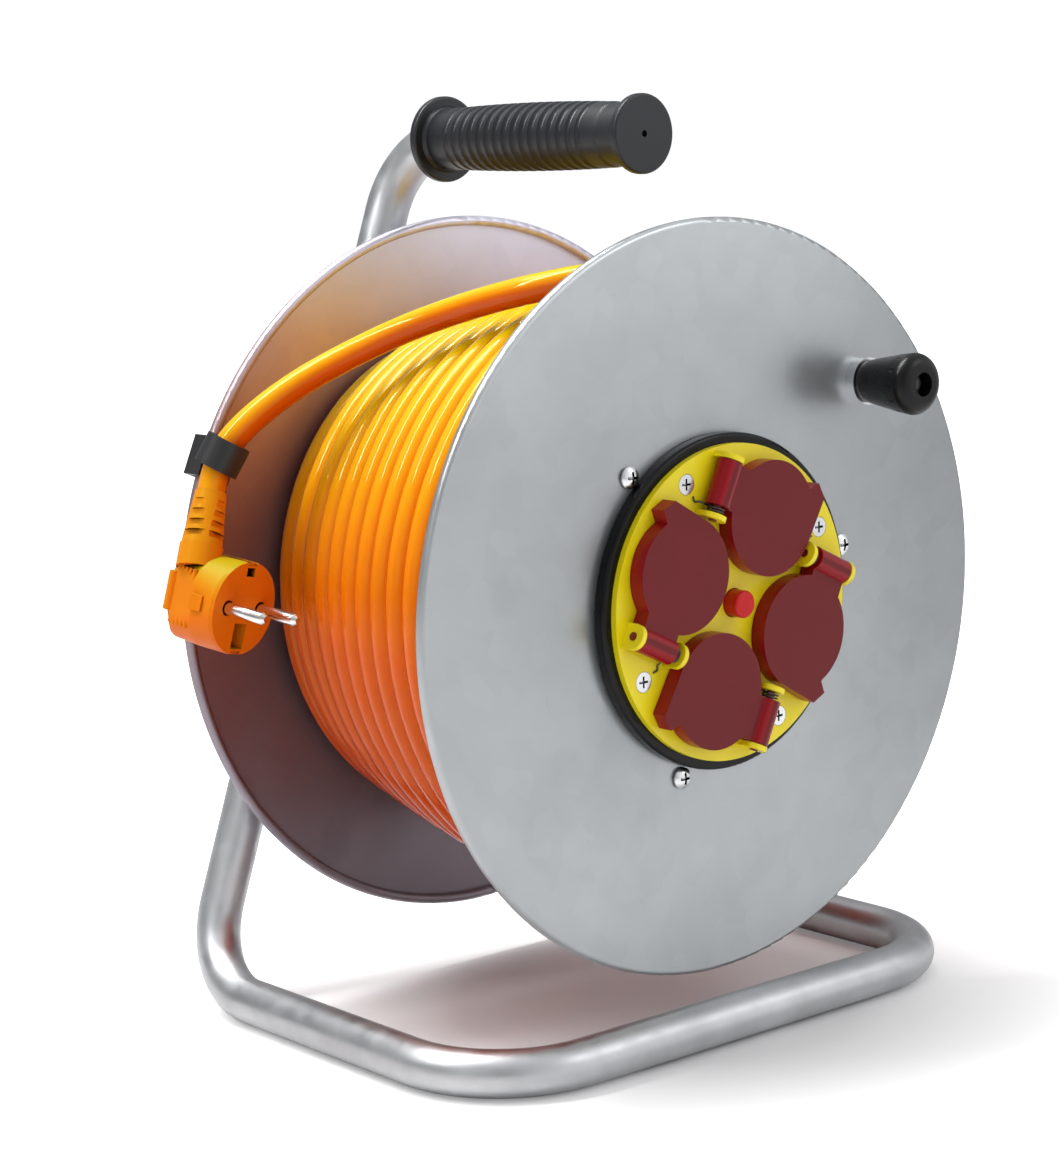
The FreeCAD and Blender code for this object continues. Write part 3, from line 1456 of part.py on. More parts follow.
def plug():
    """The angled plug: face disc, tapering body, pins, earth contacts and strain relief."""
    width = plug_face.value
    depth = plug_depth.value
    stand = Placement(Vector(plug_x.value, (drum_y + plug_y).value, (axle_height + plug_z).value), PLUG_TURN)
    sections = [
        rounded_section(width - 0.8, width - 0.4, width * 0.47, 0, 0),
        rounded_section(width, width, width * 0.47, 0, 1.5),
        rounded_section(width * 0.94, width * 0.98, width * 0.36, 0, depth * 0.4),
        rounded_section(width * 0.76, width * 0.94, width * 0.24, 0, depth * 0.82),
        rounded_section(width * 0.56, width * 0.7, width * 0.2, width * 0.03, depth),
    ]
    body = Part.makeLoft(sections, True, True)
    top_local = stand.inverse().multVec(relief_top)
    relief_way = (top_local - stand.inverse().multVec(last_bend)).normalize()
    neck_base = top_local + relief_way * relief_length.value
    neck = Part.makeCylinder(relief_diameter.value / 2 + 0.4, 9, neck_base, relief_way)
    nub = Part.makeBox(3, 6, 5.5, Vector(-width / 2 - 0.4, -3, -11.5))
    grips = [Part.makeCylinder(2.5, 15, Vector(-width * 0.33, -6.5, -depth * 0.9), Y_WAY)]
    for i in range(5):
        share = 0.82 - 0.085 * i
        across = width * (0.355 + 0.09 * (0.82 - share) / 0.42)
        grips.append(Part.makeCylinder(0.9, width * 0.62, Vector(-across, -width * 0.3, -depth * share), Y_WAY))
    relief_room = Part.makeCylinder(relief_diameter.value / 2 + 0.3, relief_length.value, top_local, relief_way)
    body = body.fuse([neck, nub] + grips).cut(relief_room)
    half_gap = pin_spacing.value / 2
    pin_radius = pin_diameter.value / 2
    for side in (-1, 1):
        seat = Vector(half_gap * side, 0, -16)
        body = body.cut(Part.makeCylinder(pin_radius, 16.5, seat, Z_UP))
        body = body.cut(Part.makeCylinder(pin_radius + 0.6, 1.2, Vector(half_gap * side, 0, -1.2), Z_UP))
    contact_low = -width / 2 + 2.2
    body = body.cut(Part.makeBox(7, 10, 9, Vector(-3.5, contact_low, -9)))
    body = body.cut(Part.makeBox(4.4, 3.4, 9, Vector(-2.2, width / 2 - 5.6, -9)))
    for side in (-1, 1):
        clip_slot = Part.makeBox(5.4, 3, 13, Vector(-2.7, width / 2 - 1.4 if side > 0 else -width / 2 - 1.6, -13))
        body = body.cut(clip_slot)
    feature("plug_body", body, stand)

    pins = []
    for side in (-1, 1):
        shank = Part.makeCylinder(pin_radius, 16 + pin_length.value - 1.6, Vector(half_gap * side, 0, -16), Z_UP)
        tip = Part.makeCone(pin_radius, pin_radius - 1.1, 1.6,
                            Vector(half_gap * side, 0, pin_length.value - 1.6), Z_UP)
        pins.append(shank.fuse(tip).removeSplitter())
    feature("plug_pins", Part.makeCompound(pins), stand)

    contacts = []
    for side in (-1, 1):
        low = width / 2 - 1.3 if side > 0 else -width / 2 + 0.3
        contacts.append(Part.makeBox(4.8, 0.9, 12.4, Vector(-2.4, low, -12.7)))
    socket = Part.makeBox(6.4, 9.4, 1.2, Vector(-3.2, contact_low + 0.3, -8.8))
    hole = Part.makeCylinder(2.3, 4, Vector(0, contact_low + 5, -10), Z_UP)
    contacts.append(socket.cut(hole))
    feature("plug_earth_contacts", Part.makeCompound(contacts), stand)

    span = relief_length.value
    small = relief_diameter.value / 2 - 2
    large = relief_diameter.value / 2
    relief = Part.makeCone(small, large, span, top_local, relief_way)
    side_way = relief_way.cross(Vector(0, 0, 1)).normalize()
    for i in range(4):
        centre = top_local + relief_way * (5 + 4.2 * i)
        for across in (side_way, relief_way.cross(side_way).normalize()):
            for sign in (-1, 1):
                slot = Part.makeBox(2.4, 9.5, 4, Vector(-1.2, -4.75, 5.9))
                frame = FreeCAD.Matrix()
                u_way = relief_way
                w_way = across * sign
                v_way = w_way.cross(u_way)
                frame.A11, frame.A21, frame.A31 = u_way.x, u_way.y, u_way.z
                frame.A12, frame.A22, frame.A32 = v_way.x, v_way.y, v_way.z
                frame.A13, frame.A23, frame.A33 = w_way.x, w_way.y, w_way.z
                frame.A14, frame.A24, frame.A34 = centre.x, centre.y, centre.z
                slot.Placement = Placement(frame)
                relief = relief.cut(slot)
    feature("plug_strain_relief", relief.removeSplitter(), stand)


def inner_lead():
    """The cable's inner end: through the core wall, past the bearing and through the gland."""
    angle = math.radians(cable_hole_angle)
    out = Vector(math.cos(angle), math.sin(angle), 0)
    level = cable_hole_z.value
    gland_out = gland_radius.value
    points = []
    for reach, rise in ((core_radius.value - 0.6, 0), (62, 0), (48.6, 4.5), (38.5, 14), (33.5, 28),
                        (33, 44), (36.5, 60)):
        points.append(out * reach + Vector(0, 0, level + rise))
    points.append(out * gland_out + Vector(0, 0, cup_back.value - 12))
    points.append(out * gland_out + Vector(0, 0, cup_floor.value + 8))
    radii = cord_radii(points)
    print("inner lead radii", ["%.0f" % radius for radius in radii])
    edges = rounded_path(points, radii)
    tube = swept(edges, cable_radius.value)
    report_tube("inner lead", tube, edges, cable_radius.value)
    stand = Placement(Vector(0, drum_y.value, axle_height.value), DRUM_TURN)
    feature("inner_lead", tube, stand)


def cable_fittings():
    """The grommet in the core wall and the gland in the cup floor."""
    through = along_radius(cable_hole_angle)
    bore = cable_diameter / 2 + 0.1
    inside = core_radius - core_wall

    def at(reach):
        u, v = polar(reach, cable_hole_angle)
        return u, v, cable_hole_z, through
    sleeve = cylinder(cable_hole - 0.1, core_wall + 0.9, *at(inside - 1.4))
    collar = cylinder(cable_hole + 2.4, Size(2.4), *at(inside - 3.4))
    grommet = cut(fuse(sleeve, collar), cylinder(bore, core_wall + 8, *at(inside - 5)))
    on_drum(grommet, "core_grommet")

    u, v = polar(gland_radius, cable_hole_angle)
    body = fuse(hexagon(gland_hole * 2 + 4, Size(6), u, v, cup_back - 6),
                cylinder(gland_hole - 0.1, cup_wall + 6, u, v, cup_back))
    body = cut(body, cylinder(bore, cup_wall + 16, u, v, cup_back - 8))
    on_drum(body, "cable_gland")
    nut = cut(hexagon(gland_hole * 2 + 4, Size(3.5), u, v, cup_floor),
              cylinder(gland_hole - 0.1, Size(3.5), u, v, cup_floor))
    on_drum(nut, "gland_nut")


hinge_springs()
button_spring()
crank_knob()
lead_start, lead_way = winding()
lead_points = cord_lead(to_world(lead_start), DRUM_TURN.multVec(lead_way))
cord_clip(lead_points)
plug()
inner_lead()
cable_fittings()

doc.recompute()
for item in doc.Objects:
    if "Invalid" in item.State or "Error" in item.State:
        raise RuntimeError("failed object: " + item.Name)
labels = [item.Label for item in parts]
if len(set(labels)) != len(labels):
    raise RuntimeError("two sub-parts share a label")
for item in parts:
    if item.Shape.isNull() or not item.Shape.isValid() or not item.Shape.Solids:
        raise RuntimeError("bad shape: " + item.Label)

os.makedirs("parts", exist_ok=True)
for item in parts:
    item.Shape.exportStep(os.path.join("parts", item.Label + ".step"))
print(len(parts), "sub-parts written")
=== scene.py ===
import math
import bpy
from mathutils import Matrix, Vector


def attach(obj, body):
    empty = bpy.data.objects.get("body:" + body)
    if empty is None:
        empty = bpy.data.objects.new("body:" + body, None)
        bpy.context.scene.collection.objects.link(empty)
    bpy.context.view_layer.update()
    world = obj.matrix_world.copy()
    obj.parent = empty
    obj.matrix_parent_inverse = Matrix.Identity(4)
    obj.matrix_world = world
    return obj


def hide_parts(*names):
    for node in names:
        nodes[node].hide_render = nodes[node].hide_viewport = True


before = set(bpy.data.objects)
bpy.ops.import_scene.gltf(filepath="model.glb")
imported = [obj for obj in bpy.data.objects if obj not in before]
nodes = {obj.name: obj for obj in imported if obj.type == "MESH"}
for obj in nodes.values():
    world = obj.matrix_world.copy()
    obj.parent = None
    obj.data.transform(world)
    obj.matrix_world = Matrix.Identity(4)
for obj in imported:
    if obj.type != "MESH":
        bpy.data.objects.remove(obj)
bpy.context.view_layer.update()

MM = 0.001
DRUM_Y = -2.9 * MM
AXLE_Z = 170 * MM
CABLE = 11 * MM


def drum_point(x, y, z):
    """A point of the drum frame, in millimetres, in the row frame."""
    return Vector((x * MM, DRUM_Y - z * MM, AXLE_Z + y * MM))


def beside_drum(x, y, z):
    """A point right of, behind and above the drum's centre, in millimetres."""
    return Vector((x * MM, DRUM_Y + y * MM, AXLE_Z + z * MM))


# Camera, at the photograph's place and angle
CAMERA_PLACE = (-729.6, -811.2, 168.7)
CAMERA_YAW = -40.76
CAMERA_PITCH = 90 - 8.81
CAMERA_ROLL = -1.20

camera_data = bpy.data.cameras.new("camera")
camera = bpy.data.objects.new("camera", camera_data)
bpy.context.scene.collection.objects.link(camera)
bpy.context.scene.camera = camera
camera_data.sensor_width = 36
camera_data.lens = 84.98
camera_data.clip_start = 0.05
camera.location = beside_drum(*CAMERA_PLACE)
heading = Matrix.Rotation(math.radians(CAMERA_YAW), 3, "Z")
tilt = Matrix.Rotation(math.radians(CAMERA_PITCH), 3, "X")
roll = Matrix.Rotation(math.radians(CAMERA_ROLL), 3, "Z")
camera.rotation_euler = (heading @ tilt @ roll).to_euler()


# Material helpers
def add_ramp(tree, source, stops):
    """A colour ramp over source; each stop is a position with a grey or a colour."""
    ramp = tree.nodes.new("ShaderNodeValToRGB")
    points = ramp.color_ramp.elements
    while len(points) < len(stops):
        points.new(0.5)
    for point, (position, value) in zip(points, stops):
        point.position = position
        colour = value if isinstance(value, tuple) else (value, value, value)
        point.color = (*colour, 1)
    tree.links.new(source, ramp.inputs["Fac"])
    return ramp.outputs["Color"]


class Shader:
    """Builds one node material."""

    def __init__(self, name):
        self.material = bpy.data.materials.new(name)
        self.material.use_nodes = True
        self.tree = self.material.node_tree
        self.shader = self.tree.nodes["Principled BSDF"]
        self.place = self.node("ShaderNodeTexCoord").outputs["Object"]

    def node(self, kind, **settings):
        made = self.tree.nodes.new(kind)
        for key, value in settings.items():
            setattr(made, key, value)
        return made

    def link(self, source, target):
        self.tree.links.new(source, target)

    def set(self, **values):
        for key, value in values.items():
            self.shader.inputs[key.replace("_", " ")].default_value = value

    def noise(self, scale, detail=4, rough=0.55, distort=0.0):
        texture = self.node("ShaderNodeTexNoise")
        texture.inputs["Scale"].default_value = scale
        texture.inputs["Detail"].default_value = detail
        texture.inputs["Roughness"].default_value = rough
        texture.inputs["Distortion"].default_value = distort
        self.link(self.place, texture.inputs["Vector"])
        return texture.outputs["Fac"]

    def cells(self, scale, output="Distance"):
        texture = self.node("ShaderNodeTexVoronoi")
        texture.inputs["Scale"].default_value = scale
        self.link(self.place, texture.inputs["Vector"])
        return texture.outputs[output]

    def ramp(self, source, stops):
        return add_ramp(self.tree, source, stops)

    def span(self, source, low, high, new_low, new_high):
        mapped = self.node("ShaderNodeMapRange")
        mapped.inputs["From Min"].default_value = low
        mapped.inputs["From Max"].default_value = high
        mapped.inputs["To Min"].default_value = new_low
        mapped.inputs["To Max"].default_value = new_high
        self.link(source, mapped.inputs["Value"])
        return mapped.outputs["Result"]

    def mix(self, factor, first, second, blend="MIX"):
        made = self.node("ShaderNodeMix", data_type="RGBA", blend_type=blend)
        sockets = (made.inputs[0], made.inputs[6], made.inputs[7])
        for socket, value in zip(sockets, (factor, first, second)):
            if isinstance(value, tuple):
                socket.default_value = (*value, 1)
            elif isinstance(value, (int, float)):
                socket.default_value = value
            else:
                self.link(value, socket)
        return made.outputs[2]

    def bump(self, height, strength, distance):
        made = self.node("ShaderNodeBump")
        made.inputs["Strength"].default_value = strength
        made.inputs["Distance"].default_value = distance
        self.link(height, made.inputs["Height"])
        self.link(made.outputs["Normal"], self.shader.inputs["Normal"])

    def axis_value(self, axis, source=None):
        split = self.node("ShaderNodeSeparateXYZ")
        self.link(source or self.place, split.inputs[0])
        return split.outputs[axis]

    def facing(self, way):
        """How far the piece's own surface faces way, from -1 to 1."""
        turn = self.node("ShaderNodeVectorMath", operation="DOT_PRODUCT")
        turn.inputs[1].default_value = way
        self.link(self.node("ShaderNodeTexCoord").outputs["Normal"], turn.inputs[0])
        return turn.outputs["Value"]

    def occlusion_shade_mask(self, distance):
        """A mask for painted shade: 1 on open surfaces, falling towards 0 in recesses."""
        made = self.node("ShaderNodeAmbientOcclusion", samples=8)
        made.inputs["Distance"].default_value = distance
        return made.outputs["AO"]

    def colour(self, source):
        self.link(source, self.shader.inputs["Base Color"])

    def colour_source(self):
        return self.shader.inputs["Base Color"].links[0].from_socket

    def darken(self, *shades):
        """Multiplies the colour that the material has by each shade in turn."""
        for shade in shades:
            self.colour(self.mix(1.0, self.colour_source(), shade, "MULTIPLY"))

    def roughness(self, source):
        self.link(source, self.shader.inputs["Roughness"])


def plastic(name, base, rough, vary=0.12, specular=0.5, tint=(1, 1, 1)):
    """Moulded plastic or rubber: faint clouds and a fine moulded grain."""
    s = Shader(name)
    s.set(Specular_IOR_Level=specular, Specular_Tint=(*tint, 1))
    cloud = s.noise(22, 3)
    dark = tuple(c * (1 - vary) for c in base)
    light = tuple(min(1, c * (1 + vary)) for c in base)
    s.colour(s.mix(s.span(cloud, 0.3, 0.7, 0, 1), dark, light))
    s.roughness(s.span(s.noise(60, 4), 0.3, 0.7, rough - 0.05, rough + 0.06))
    s.bump(s.noise(900, 2), 0.5, 0.03 * MM)
    return s


def sheet_zinc(name, base, rough):
    """Galvanised sheet: clouds, faint spangle, specks and fine scratches."""
    s = Shader(name)
    s.set(Metallic=0.85)
    low = tuple(c * 0.90 for c in base)
    high = tuple(min(1, c * 1.07) for c in base)
    clouds = s.mix(s.span(s.noise(7, 6, 0.6, distort=0.4), 0.32, 0.68, 0, 1), low, high)
    spangle = s.span(s.cells(95, output="Color"), 0, 1, 0.97, 1.03)
    clouds = s.mix(1.0, clouds, spangle, "MULTIPLY")
    stains = s.ramp(s.noise(11, 3, 0.5, distort=1.0),
                    [(0.0, 0.80), (0.30, 0.86), (0.42, 1.0), (1.0, 1.0)])
    clouds = s.mix(0.7, clouds, stains, "MULTIPLY")
    specks = s.ramp(s.cells(150), [(0.0, 0.35), (0.035, 0.55), (0.06, 1.0), (1.0, 1.0)])
    sparse = s.ramp(s.noise(26, 2), [(0.0, 0.0), (0.58, 0.0), (0.66, 1.0), (1.0, 1.0)])
    s.colour(s.mix(sparse, clouds, s.mix(1.0, clouds, specks, "MULTIPLY")))
    s.roughness(s.span(s.noise(30, 5, 0.65), 0.3, 0.7, rough - 0.06, rough + 0.08))
    s.bump(s.noise(140, 4, 0.6), 0.35, 0.06 * MM)
    return s


def satin_metal(name, base, rough):
    """Plated or plain metal with soft clouds."""
    s = Shader(name)
    s.set(Metallic=1.0)
    cloud = s.noise(40, 5, 0.6)
    low = tuple(c * 0.86 for c in base)
    high = tuple(min(1, c * 1.08) for c in base)
    s.colour(s.mix(s.span(cloud, 0.3, 0.7, 0, 1), low, high))
    s.roughness(s.span(s.noise(120, 4, 0.6), 0.3, 0.7, rough - 0.07, rough + 0.09))
    s.bump(s.noise(420, 3), 0.25, 0.02 * MM)
    return s


# Painted light on the front flange: brighter along its top, and painted shade darker at its right
front_zinc = sheet_zinc("front_zinc", (0.42, 0.44, 0.45), 0.34)
front_painted_top_light = front_zinc.ramp(front_zinc.axis_value(2),
                               [(0.0, 1.05), (0.10, 1.0), (0.22, 1.0), (0.27, 1.1), (0.32, 1.30)])
front_painted_right_shade = front_zinc.ramp(front_zinc.axis_value(0),
                              [(0.0, 1.0), (0.04, 1.0), (0.12, 0.80), (0.15, 0.78)])
front_zinc.darken(front_painted_top_light, front_painted_right_shade)
# Painted light on the back flange: painted shade, tinted brown like the cable's reflection, lower down, and
# bright painted light at the top
back_zinc = sheet_zinc("back_zinc", (0.82, 0.83, 0.93), 0.42)
back_painted_shade_and_light = back_zinc.ramp(back_zinc.axis_value(2), [(0.0, (0.38, 0.35, 0.35)), (0.14, (0.34, 0.28, 0.28)),
                                                (0.22, (0.46, 0.31, 0.28)), (0.27, (0.62, 0.47, 0.45)),
                                                (0.31, (0.90, 0.86, 0.88)), (0.34, (1.0, 1.0, 1.0))])
back_zinc.darken(back_painted_shade_and_light)
tube_zinc = satin_metal("tube_zinc", (0.54, 0.55, 0.56), 0.40)
plain_zinc = satin_metal("plain_zinc", (0.55, 0.56, 0.57), 0.38)
bright_zinc = satin_metal("bright_zinc", (0.78, 0.79, 0.80), 0.20)
# Painted shade: the screws are darkened in their recesses
screw_zinc = satin_metal("screw_zinc", (0.80, 0.81, 0.82), 0.18)
screw_painted_recess_shade = screw_zinc.ramp(screw_zinc.occlusion_shade_mask(1.6 * MM), [(0.0, 0.01), (0.55, 0.03), (0.88, 1.0), (1.0, 1.0)])
screw_zinc.darken(screw_painted_recess_shade)
nickel = satin_metal("nickel", (0.80, 0.79, 0.76), 0.16)
brass = satin_metal("brass", (0.78, 0.52, 0.20), 0.28)
dark_wire = satin_metal("dark_wire", (0.10, 0.10, 0.11), 0.35)
yellow = plastic("yellow_plastic", (0.80, 0.66, 0.004), 0.34, vary=0.03)
# The covers' sides and barrels are glossier than their matte faces, and are painted a brighter, redder
# colour than the faces, a painted light set by which way each surface faces
cover_red = plastic("cover_red", (0.135, 0.005, 0.007), 0.42, vary=0.05, specular=0.25)
matte_face_and_painted_light = cover_red.span(cover_red.facing((0, -1, 0)), 0.93, 0.985, 0, 1)
cover_red.colour(cover_red.mix(matte_face_and_painted_light, (0.26, 0.003, 0.008), cover_red.colour_source()))
cover_red.roughness(cover_red.span(matte_face_and_painted_light, 0, 1, 0.24, 0.42))
button_red = plastic("button_red", (0.50, 0.002, 0.005), 0.30, vary=0.03, specular=0.3)
pin_red = plastic("pin_red", (0.16, 0.008, 0.012), 0.35)
black = plastic("black_plastic", (0.006, 0.006, 0.006), 0.34, specular=0.25)
bezel_black = plastic("bezel_black", (0.003, 0.003, 0.0035), 0.24, specular=0.22)
knob_black = plastic("knob_black", (0.002, 0.002, 0.0024), 0.30, specular=0.26)
clip_black = plastic("clip_black", (0.012, 0.012, 0.013), 0.38)
rubber = plastic("rubber", (0.009, 0.010, 0.013), 0.38, vary=0.2)
seal = plastic("seal_rubber", (0.01, 0.01, 0.01), 0.7)
natural = plastic("natural_plastic", (0.70, 0.69, 0.64), 0.45)
# Painted light on the plug: yellower where it faces up and deeper red where it faces down, with painted
# shade dark in its slots
plug_orange = plastic("plug_orange", (0.80, 0.17, 0.003), 0.40, vary=0.04, specular=0.22,
                      tint=(1, 0.7, 0.2))
plug_height = plug_orange.axis_value(2, plug_orange.node("ShaderNodeNewGeometry").outputs["Normal"])
plug_painted_light = plug_orange.ramp(plug_orange.span(plug_height, -1, 1, 0, 1),
                             [(0.0, (0.55, 0.09, 0.003)), (0.5, (0.76, 0.16, 0.004)),
                              (0.72, (0.62, 0.22, 0.003)), (0.92, (0.42, 0.31, 0.001))])
plug_painted_slot_shade = plug_orange.ramp(plug_orange.occlusion_shade_mask(6 * MM),
                             [(0.0, 0.02), (0.38, 0.05), (0.50, 1.0), (1.0, 1.0)])
plug_orange.colour(plug_orange.mix(1.0, plug_painted_light, plug_painted_slot_shade, "MULTIPLY"))


def cable_material():
    """Smooth jacket with painted light: yellower where it faces the light from above, deeper red where it
    faces down.
    """
    s = Shader("cable_jacket")
    s.set(Specular_IOR_Level=0.36, Specular_Tint=(1, 0.70, 0.20, 1), Coat_Weight=0.18, Coat_Roughness=0.06)
    height = s.axis_value(2, s.node("ShaderNodeNewGeometry").outputs["Normal"])
    facing_up = s.span(height, -1, 1, 0, 1)
    cable_painted_light = s.ramp(facing_up, [(0.0, (0.42, 0.025, 0.001)), (0.45, (0.64, 0.085, 0.001)),
                              (0.62, (0.78, 0.22, 0.001)), (0.80, (0.74, 0.39, 0.002)),
                              (1.0, (0.72, 0.56, 0.010))])
    cloud = s.span(s.noise(14, 3), 0.35, 0.65, 0.94, 1.05)
    s.colour(s.mix(1.0, cable_painted_light, cloud, "MULTIPLY"))
    s.roughness(s.span(s.noise(45, 4), 0.3, 0.7, 0.10, 0.17))
    s.bump(s.noise(180, 3), 0.25, 0.05 * MM)
    return s


jacket = cable_material()

FINISH = {
    "front_flange": front_zinc, "back_flange": back_zinc, "stand_tube": tube_zinc,
    "axle_bracket": plain_zinc, "leg_bolts": bright_zinc, "leg_nuts": bright_zinc, "axle": plain_zinc,
    "axle_nut": bright_zinc, "thrust_washers": plain_zinc, "retaining_ring": dark_wire,
    "tube_end_cap": black, "handle_grip": rubber, "drum_core": black,
    "front_flange_screws": screw_zinc, "back_flange_screws": screw_zinc, "hub_plate": plain_zinc,
    "hub_rivets": plain_zinc, "hub_bush": natural, "knob_cup": bright_zinc, "knob_bolt": dark_wire,
    "knob_nut": dark_wire, "insert_housing": bezel_black, "bezel_gasket": seal, "socket_plate": yellow,
    "plate_screws": screw_zinc, "contact_carrier": natural, "live_rail": brass, "neutral_rail": brass,
    "earth_rail": brass, "thermal_cutout": black, "button_spring": dark_wire, "hinge_pins": pin_red,
    "hinge_springs": dark_wire, "inner_lead": jacket, "core_grommet": seal, "cable_gland": black,
    "gland_nut": black, "cord_clip": clip_black, "plug_strain_relief": plug_orange,
    "plug_body": plug_orange, "plug_pins": nickel, "plug_earth_contacts": nickel,
    "crank_knob": knob_black, "reset_button": button_red,
}
for number in range(1, 5):
    FINISH["cover_%d" % number] = cover_red
    FINISH["cover_seal_%d" % number] = seal

for name, made in FINISH.items():
    for slot in nodes[name].material_slots:
        slot.material = made.material


def add_bevel(name, width, segments=2):
    bevel = nodes[name].modifiers.new("edge", "BEVEL")
    bevel.width = width * MM
    bevel.segments = segments
    bevel.limit_method = "ANGLE"
    bevel.angle_limit = math.radians(35)


# Cable: the outer winding layer and the lead on one smooth curve. Sizes are in millimetres
TURNS = 12.05
LOW_RADIUS = 97.5
RISE = 20.5
SPAN = 135.6
STEPS = 16
# The smooth line cuts inside its points, so they stand out by this much
CORNER = 1 / 0.981
# The first quarter turn comes up out of the layer below
START_DIP = 12
DIP_TURNS = 0.25
# Angle on the drum at which the last turn ends, and the way the cable leaves it
END_ANGLE = 80
END_SLOPE = -0.0156
END_RUNS = (11, 16)
LEAD = ((-25, -67, 124), (-42, -55, 124.5), (-54.5, -36, 120.4), (-61, -18, 116.2),
        (-66, 2, 110.8), (-75, 20, 104), (-89, 35.5, 94.6), (-105, 46.5, 84.6),
        (-120.5, 53, 73.6), (-131.6, 56.8, 63.2), (-136.6, 59.4, 53.2), (-140.2, 57.6, 44.4))


def layer_radius(share):
    """Radius of the outer layer's middle at a share of the winding's width."""
    return LOW_RADIUS + RISE * math.sin(math.radians(90 * share))


def wound(turn):
    share = min(max(turn / TURNS, 0), 1)
    radius = layer_radius(share) - START_DIP * max(0.0, 1 - turn / DIP_TURNS) ** 2
    angle = math.radians(END_ANGLE + 360 * (turn - TURNS))
    return radius, angle, SPAN * (share - 0.5)


def cable_route():
    points = []
    count = round(TURNS * STEPS)
    for i in range(count + 1):
        radius, angle, level = wound(TURNS * i / count)
        if 0 < i < count:
            radius *= CORNER
        points.append(drum_point(radius * math.cos(angle), radius * math.sin(angle), level))
    near, far = (run * MM for run in END_RUNS)
    start = points[0] - (points[1] - points[0]).normalized() * near
    leaving = math.radians(END_ANGLE)
    way = Vector((-math.sin(leaving), END_SLOPE, math.cos(leaving))).normalized()
    first = points[-1] + way * near
    lead = [beside_drum(*place) for place in LEAD]
    return [start] + points + [first, first + way * far] + lead


def curve_piece(name, points, thickness, material):
    data = bpy.data.curves.new(name, "CURVE")
    data.dimensions = "3D"
    spline = data.splines.new("NURBS")
    spline.points.add(len(points) - 1)
    for knot, point in zip(spline.points, points):
        knot.co = (*point, 1)
    spline.order_u = 3
    spline.use_endpoint_u = True
    spline.resolution_u = 6
    data.bevel_depth = thickness / 2
    data.bevel_resolution = 7
    data.use_fill_caps = True
    data.materials.append(material)
    piece = bpy.data.objects.new(name, data)
    bpy.context.scene.collection.objects.link(piece)
    return piece


route = cable_route()
cable = curve_piece("cable", route, CABLE, jacket.material)
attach(cable, "drum")
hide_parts("winding_layer", "cord_lead")


def line_length(points):
    """Length of the smooth line, read from the curve without its thickness."""
    bare = curve_piece("bare_line", points, 0, jacket.material)
    graph = bpy.context.evaluated_depsgraph_get()
    mesh = bpy.data.meshes.new_from_object(bare.evaluated_get(graph))
    length = 0.0
    for edge in mesh.edges:
        a, b = (mesh.vertices[i].co for i in edge.vertices)
        length += (a - b).length
    bpy.data.objects.remove(bare)
    return length


cable_length = line_length(route)


# The layers under the outer one, from the back of the drum to the front, in millimetres
INNER_BACK = -73.5
INNER_FRONT = 72.2
CORE_RADIUS = 77
RING_HALF_WIDTH = 5.6
RING_CROWN = 5.4
RING_DEPTH = 9.6
RING_STEPS = 10
AROUND = 96


def inner_profile():
    """Half section of the layers: one rounded ring under each turn, then the core's radius."""
    profile = []
    pitch = SPAN / TURNS
    middle = INNER_BACK + RING_HALF_WIDTH
    rings = 0
    while middle + RING_HALF_WIDTH <= INNER_FRONT:
        share = min(max(middle / SPAN + 0.5, 0), 1)
        centre = layer_radius(share) - RING_DEPTH
        for step in range(RING_STEPS + 1):
            lean = math.radians(180 - 180 * step / RING_STEPS)
            profile.append((centre + RING_CROWN * math.sin(lean), middle + RING_HALF_WIDTH * math.cos(lean)))
        rings += 1
        middle = INNER_BACK + RING_HALF_WIDTH + pitch * rings
    return [(CORE_RADIUS, profile[0][1])] + profile + [(CORE_RADIUS, profile[-1][1])]


def inner_layers():
    profile = inner_profile()
    rows = len(profile)
    verts = []
    faces = []
    for i in range(AROUND):
        angle = 2 * math.pi * i / AROUND
        for radius, level in profile:
            verts.append(drum_point(radius * math.cos(angle), radius * math.sin(angle), level))
    for i in range(AROUND):
        here = i * rows
        following = (i + 1) % AROUND * rows
        for j in range(rows):
            after = (j + 1) % rows
            faces.append((here + j, here + after, following + after, following + j))
    mesh = bpy.data.meshes.new("cable_inner_layers")
    mesh.from_pydata(verts, [], faces)
    mesh.materials.append(jacket.material)
    for polygon in mesh.polygons:
        polygon.use_smooth = True
    piece = bpy.data.objects.new("cable_inner_layers", mesh)
    bpy.context.scene.collection.objects.link(piece)
    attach(piece, "drum")
    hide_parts("winding_core")


inner_layers()

# Edges of the moulded pieces catch light
for name, width in (("socket_plate", 0.35), ("insert_housing", 0.4), ("plug_body", 0.5),
                    ("cord_clip", 0.4), ("reset_button", 0.3)):
    add_bevel(name, width)
for number in range(1, 5):
    add_bevel("cover_%d" % number, 0.6, 3)


# Stage, light and world
def seen_by_camera(tree):
    """1 for rays straight from the camera, else 0."""
    return tree.nodes.new("ShaderNodeLightPath").outputs["Is Camera Ray"]


# The floor glows white to the camera, a painted light that fades out towards the reel, so that its shadow
# shows near it
FLOOR_REACH = 6
FLOOR_DROP = 0.3 * MM
SHADOW_CENTRE = (0.01, -0.03, 0)
SHADOW_FADE = ((0.0, 0.0), (0.08, 0.0), (0.10, 0.09), (0.15, 0.30), (0.22, 0.52), (0.30, 0.85), (0.42, 1.0))


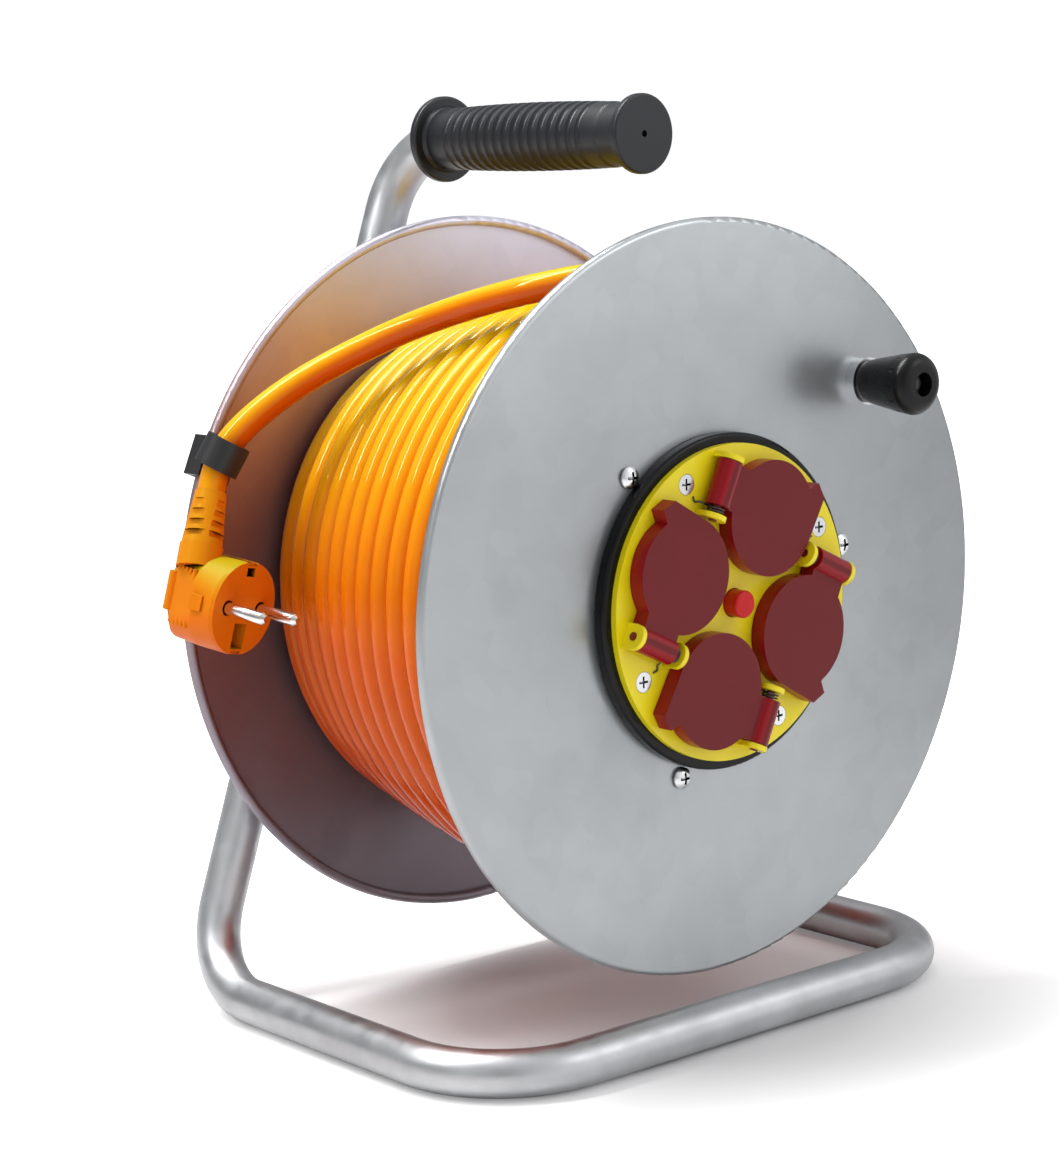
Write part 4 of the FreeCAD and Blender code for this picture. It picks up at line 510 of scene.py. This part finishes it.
def stage():
    corners = ((-1, -1), (1, -1), (1, 1), (-1, 1))
    mesh = bpy.data.meshes.new("floor")
    mesh.from_pydata([(FLOOR_REACH * x, FLOOR_REACH * y, 0) for x, y in corners], [], [(0, 1, 2, 3)])
    floor = bpy.data.objects.new("floor", mesh)
    floor.location.z = -FLOOR_DROP
    bpy.context.scene.collection.objects.link(floor)
    made = bpy.data.materials.new("floor")
    made.use_nodes = True
    tree = made.node_tree
    shader = tree.nodes["Principled BSDF"]
    shader.inputs["Base Color"].default_value = (0.86, 0.85, 0.85, 1)
    shader.inputs["Roughness"].default_value = 0.42
    shader.inputs["Specular IOR Level"].default_value = 0.35
    shader.inputs["Emission Color"].default_value = (1, 1, 1, 1)
    shift = tree.nodes.new("ShaderNodeVectorMath")
    shift.operation = "SUBTRACT"
    shift.inputs[1].default_value = SHADOW_CENTRE
    tree.links.new(tree.nodes.new("ShaderNodeNewGeometry").outputs["Position"], shift.inputs[0])
    away = tree.nodes.new("ShaderNodeVectorMath")
    away.operation = "LENGTH"
    tree.links.new(shift.outputs[0], away.inputs[0])
    glow = tree.nodes.new("ShaderNodeMath")
    glow.operation = "MULTIPLY"
    tree.links.new(add_ramp(tree, away.outputs["Value"], SHADOW_FADE), glow.inputs[1])
    tree.links.new(seen_by_camera(tree), glow.inputs[0])
    tree.links.new(glow.outputs[0], shader.inputs["Emission Strength"])
    mesh.materials.append(made)


def area_light(name, place, aim, size, power, long_way=None):
    """A softbox; long_way is the direction of its first side."""
    data = bpy.data.lights.new(name, "AREA")
    data.shape = "RECTANGLE"
    data.size, data.size_y = size
    data.energy = power
    lamp = bpy.data.objects.new(name, data)
    lamp.location = place
    back = (Vector(place) - Vector(aim)).normalized()
    along = Vector(long_way) if long_way else Vector((0, 0, 1)).cross(back)
    side = (along - back * along.dot(back)).normalized()
    up = back.cross(side)
    lamp.rotation_euler = Matrix((side, up, back)).transposed().to_euler()
    bpy.context.scene.collection.objects.link(lamp)


stage()
area_light("strip_lamp", (-0.57, 0.40, 1.50), (0, 0, 0.2), (1.8, 0.07), 20, long_way=(0.92, 0, 0.39))
area_light("top_lamp", (-0.35, 0.45, 1.8), (0, 0, 0.1), (0.9, 0.9), 14)
area_light("left_lamp", (-1.6, -0.5, 0.7), (0, 0, 0.2), (0.9, 0.9), 1.2)
area_light("right_lamp", (1.1, -1.5, 1.5), (0, 0, 0.2), (1.0, 1.0), 6)


def smooth_span(tree, source, low, high, new_low, new_high):
    """Maps low to high smoothly onto new_low to new_high."""
    made = tree.nodes.new("ShaderNodeMapRange")
    made.interpolation_type = "SMOOTHSTEP"
    made.inputs["From Min"].default_value = low
    made.inputs["From Max"].default_value = high
    made.inputs["To Min"].default_value = new_low
    made.inputs["To Max"].default_value = new_high
    tree.links.new(source, made.inputs["Value"])
    return made.outputs["Result"]


def light_world():
    """Soft light, brighter in front and above; white to the camera."""
    world = bpy.data.worlds.new("world")
    bpy.context.scene.world = world
    world.use_nodes = True
    tree = world.node_tree
    background = tree.nodes["Background"]
    background.inputs["Color"].default_value = (0.97, 0.98, 1.0, 1)
    direction = tree.nodes.new("ShaderNodeTexCoord").outputs["Generated"]
    ahead = tree.nodes.new("ShaderNodeVectorMath")
    ahead.operation = "DOT_PRODUCT"
    ahead.inputs[1].default_value = (0.50, -0.86, 0.05)
    tree.links.new(direction, ahead.inputs[0])
    upward = tree.nodes.new("ShaderNodeSeparateXYZ")
    tree.links.new(direction, upward.inputs[0])
    brighter = tree.nodes.new("ShaderNodeMath")
    brighter.operation = "MAXIMUM"
    front = smooth_span(tree, ahead.outputs["Value"], 0.2, 1.0, 0.36, 1.12)
    above = smooth_span(tree, upward.outputs[2], 0.25, 0.95, 0.0, 0.85)
    tree.links.new(front, brighter.inputs[0])
    tree.links.new(above, brighter.inputs[1])
    level = tree.nodes.new("ShaderNodeMapRange")
    level.inputs["To Max"].default_value = 1.05
    tree.links.new(seen_by_camera(tree), level.inputs["Value"])
    tree.links.new(brighter.outputs[0], level.inputs["To Min"])
    tree.links.new(level.outputs["Result"], background.inputs["Strength"])


light_world()
bpy.context.scene.view_settings.view_transform = "Standard"
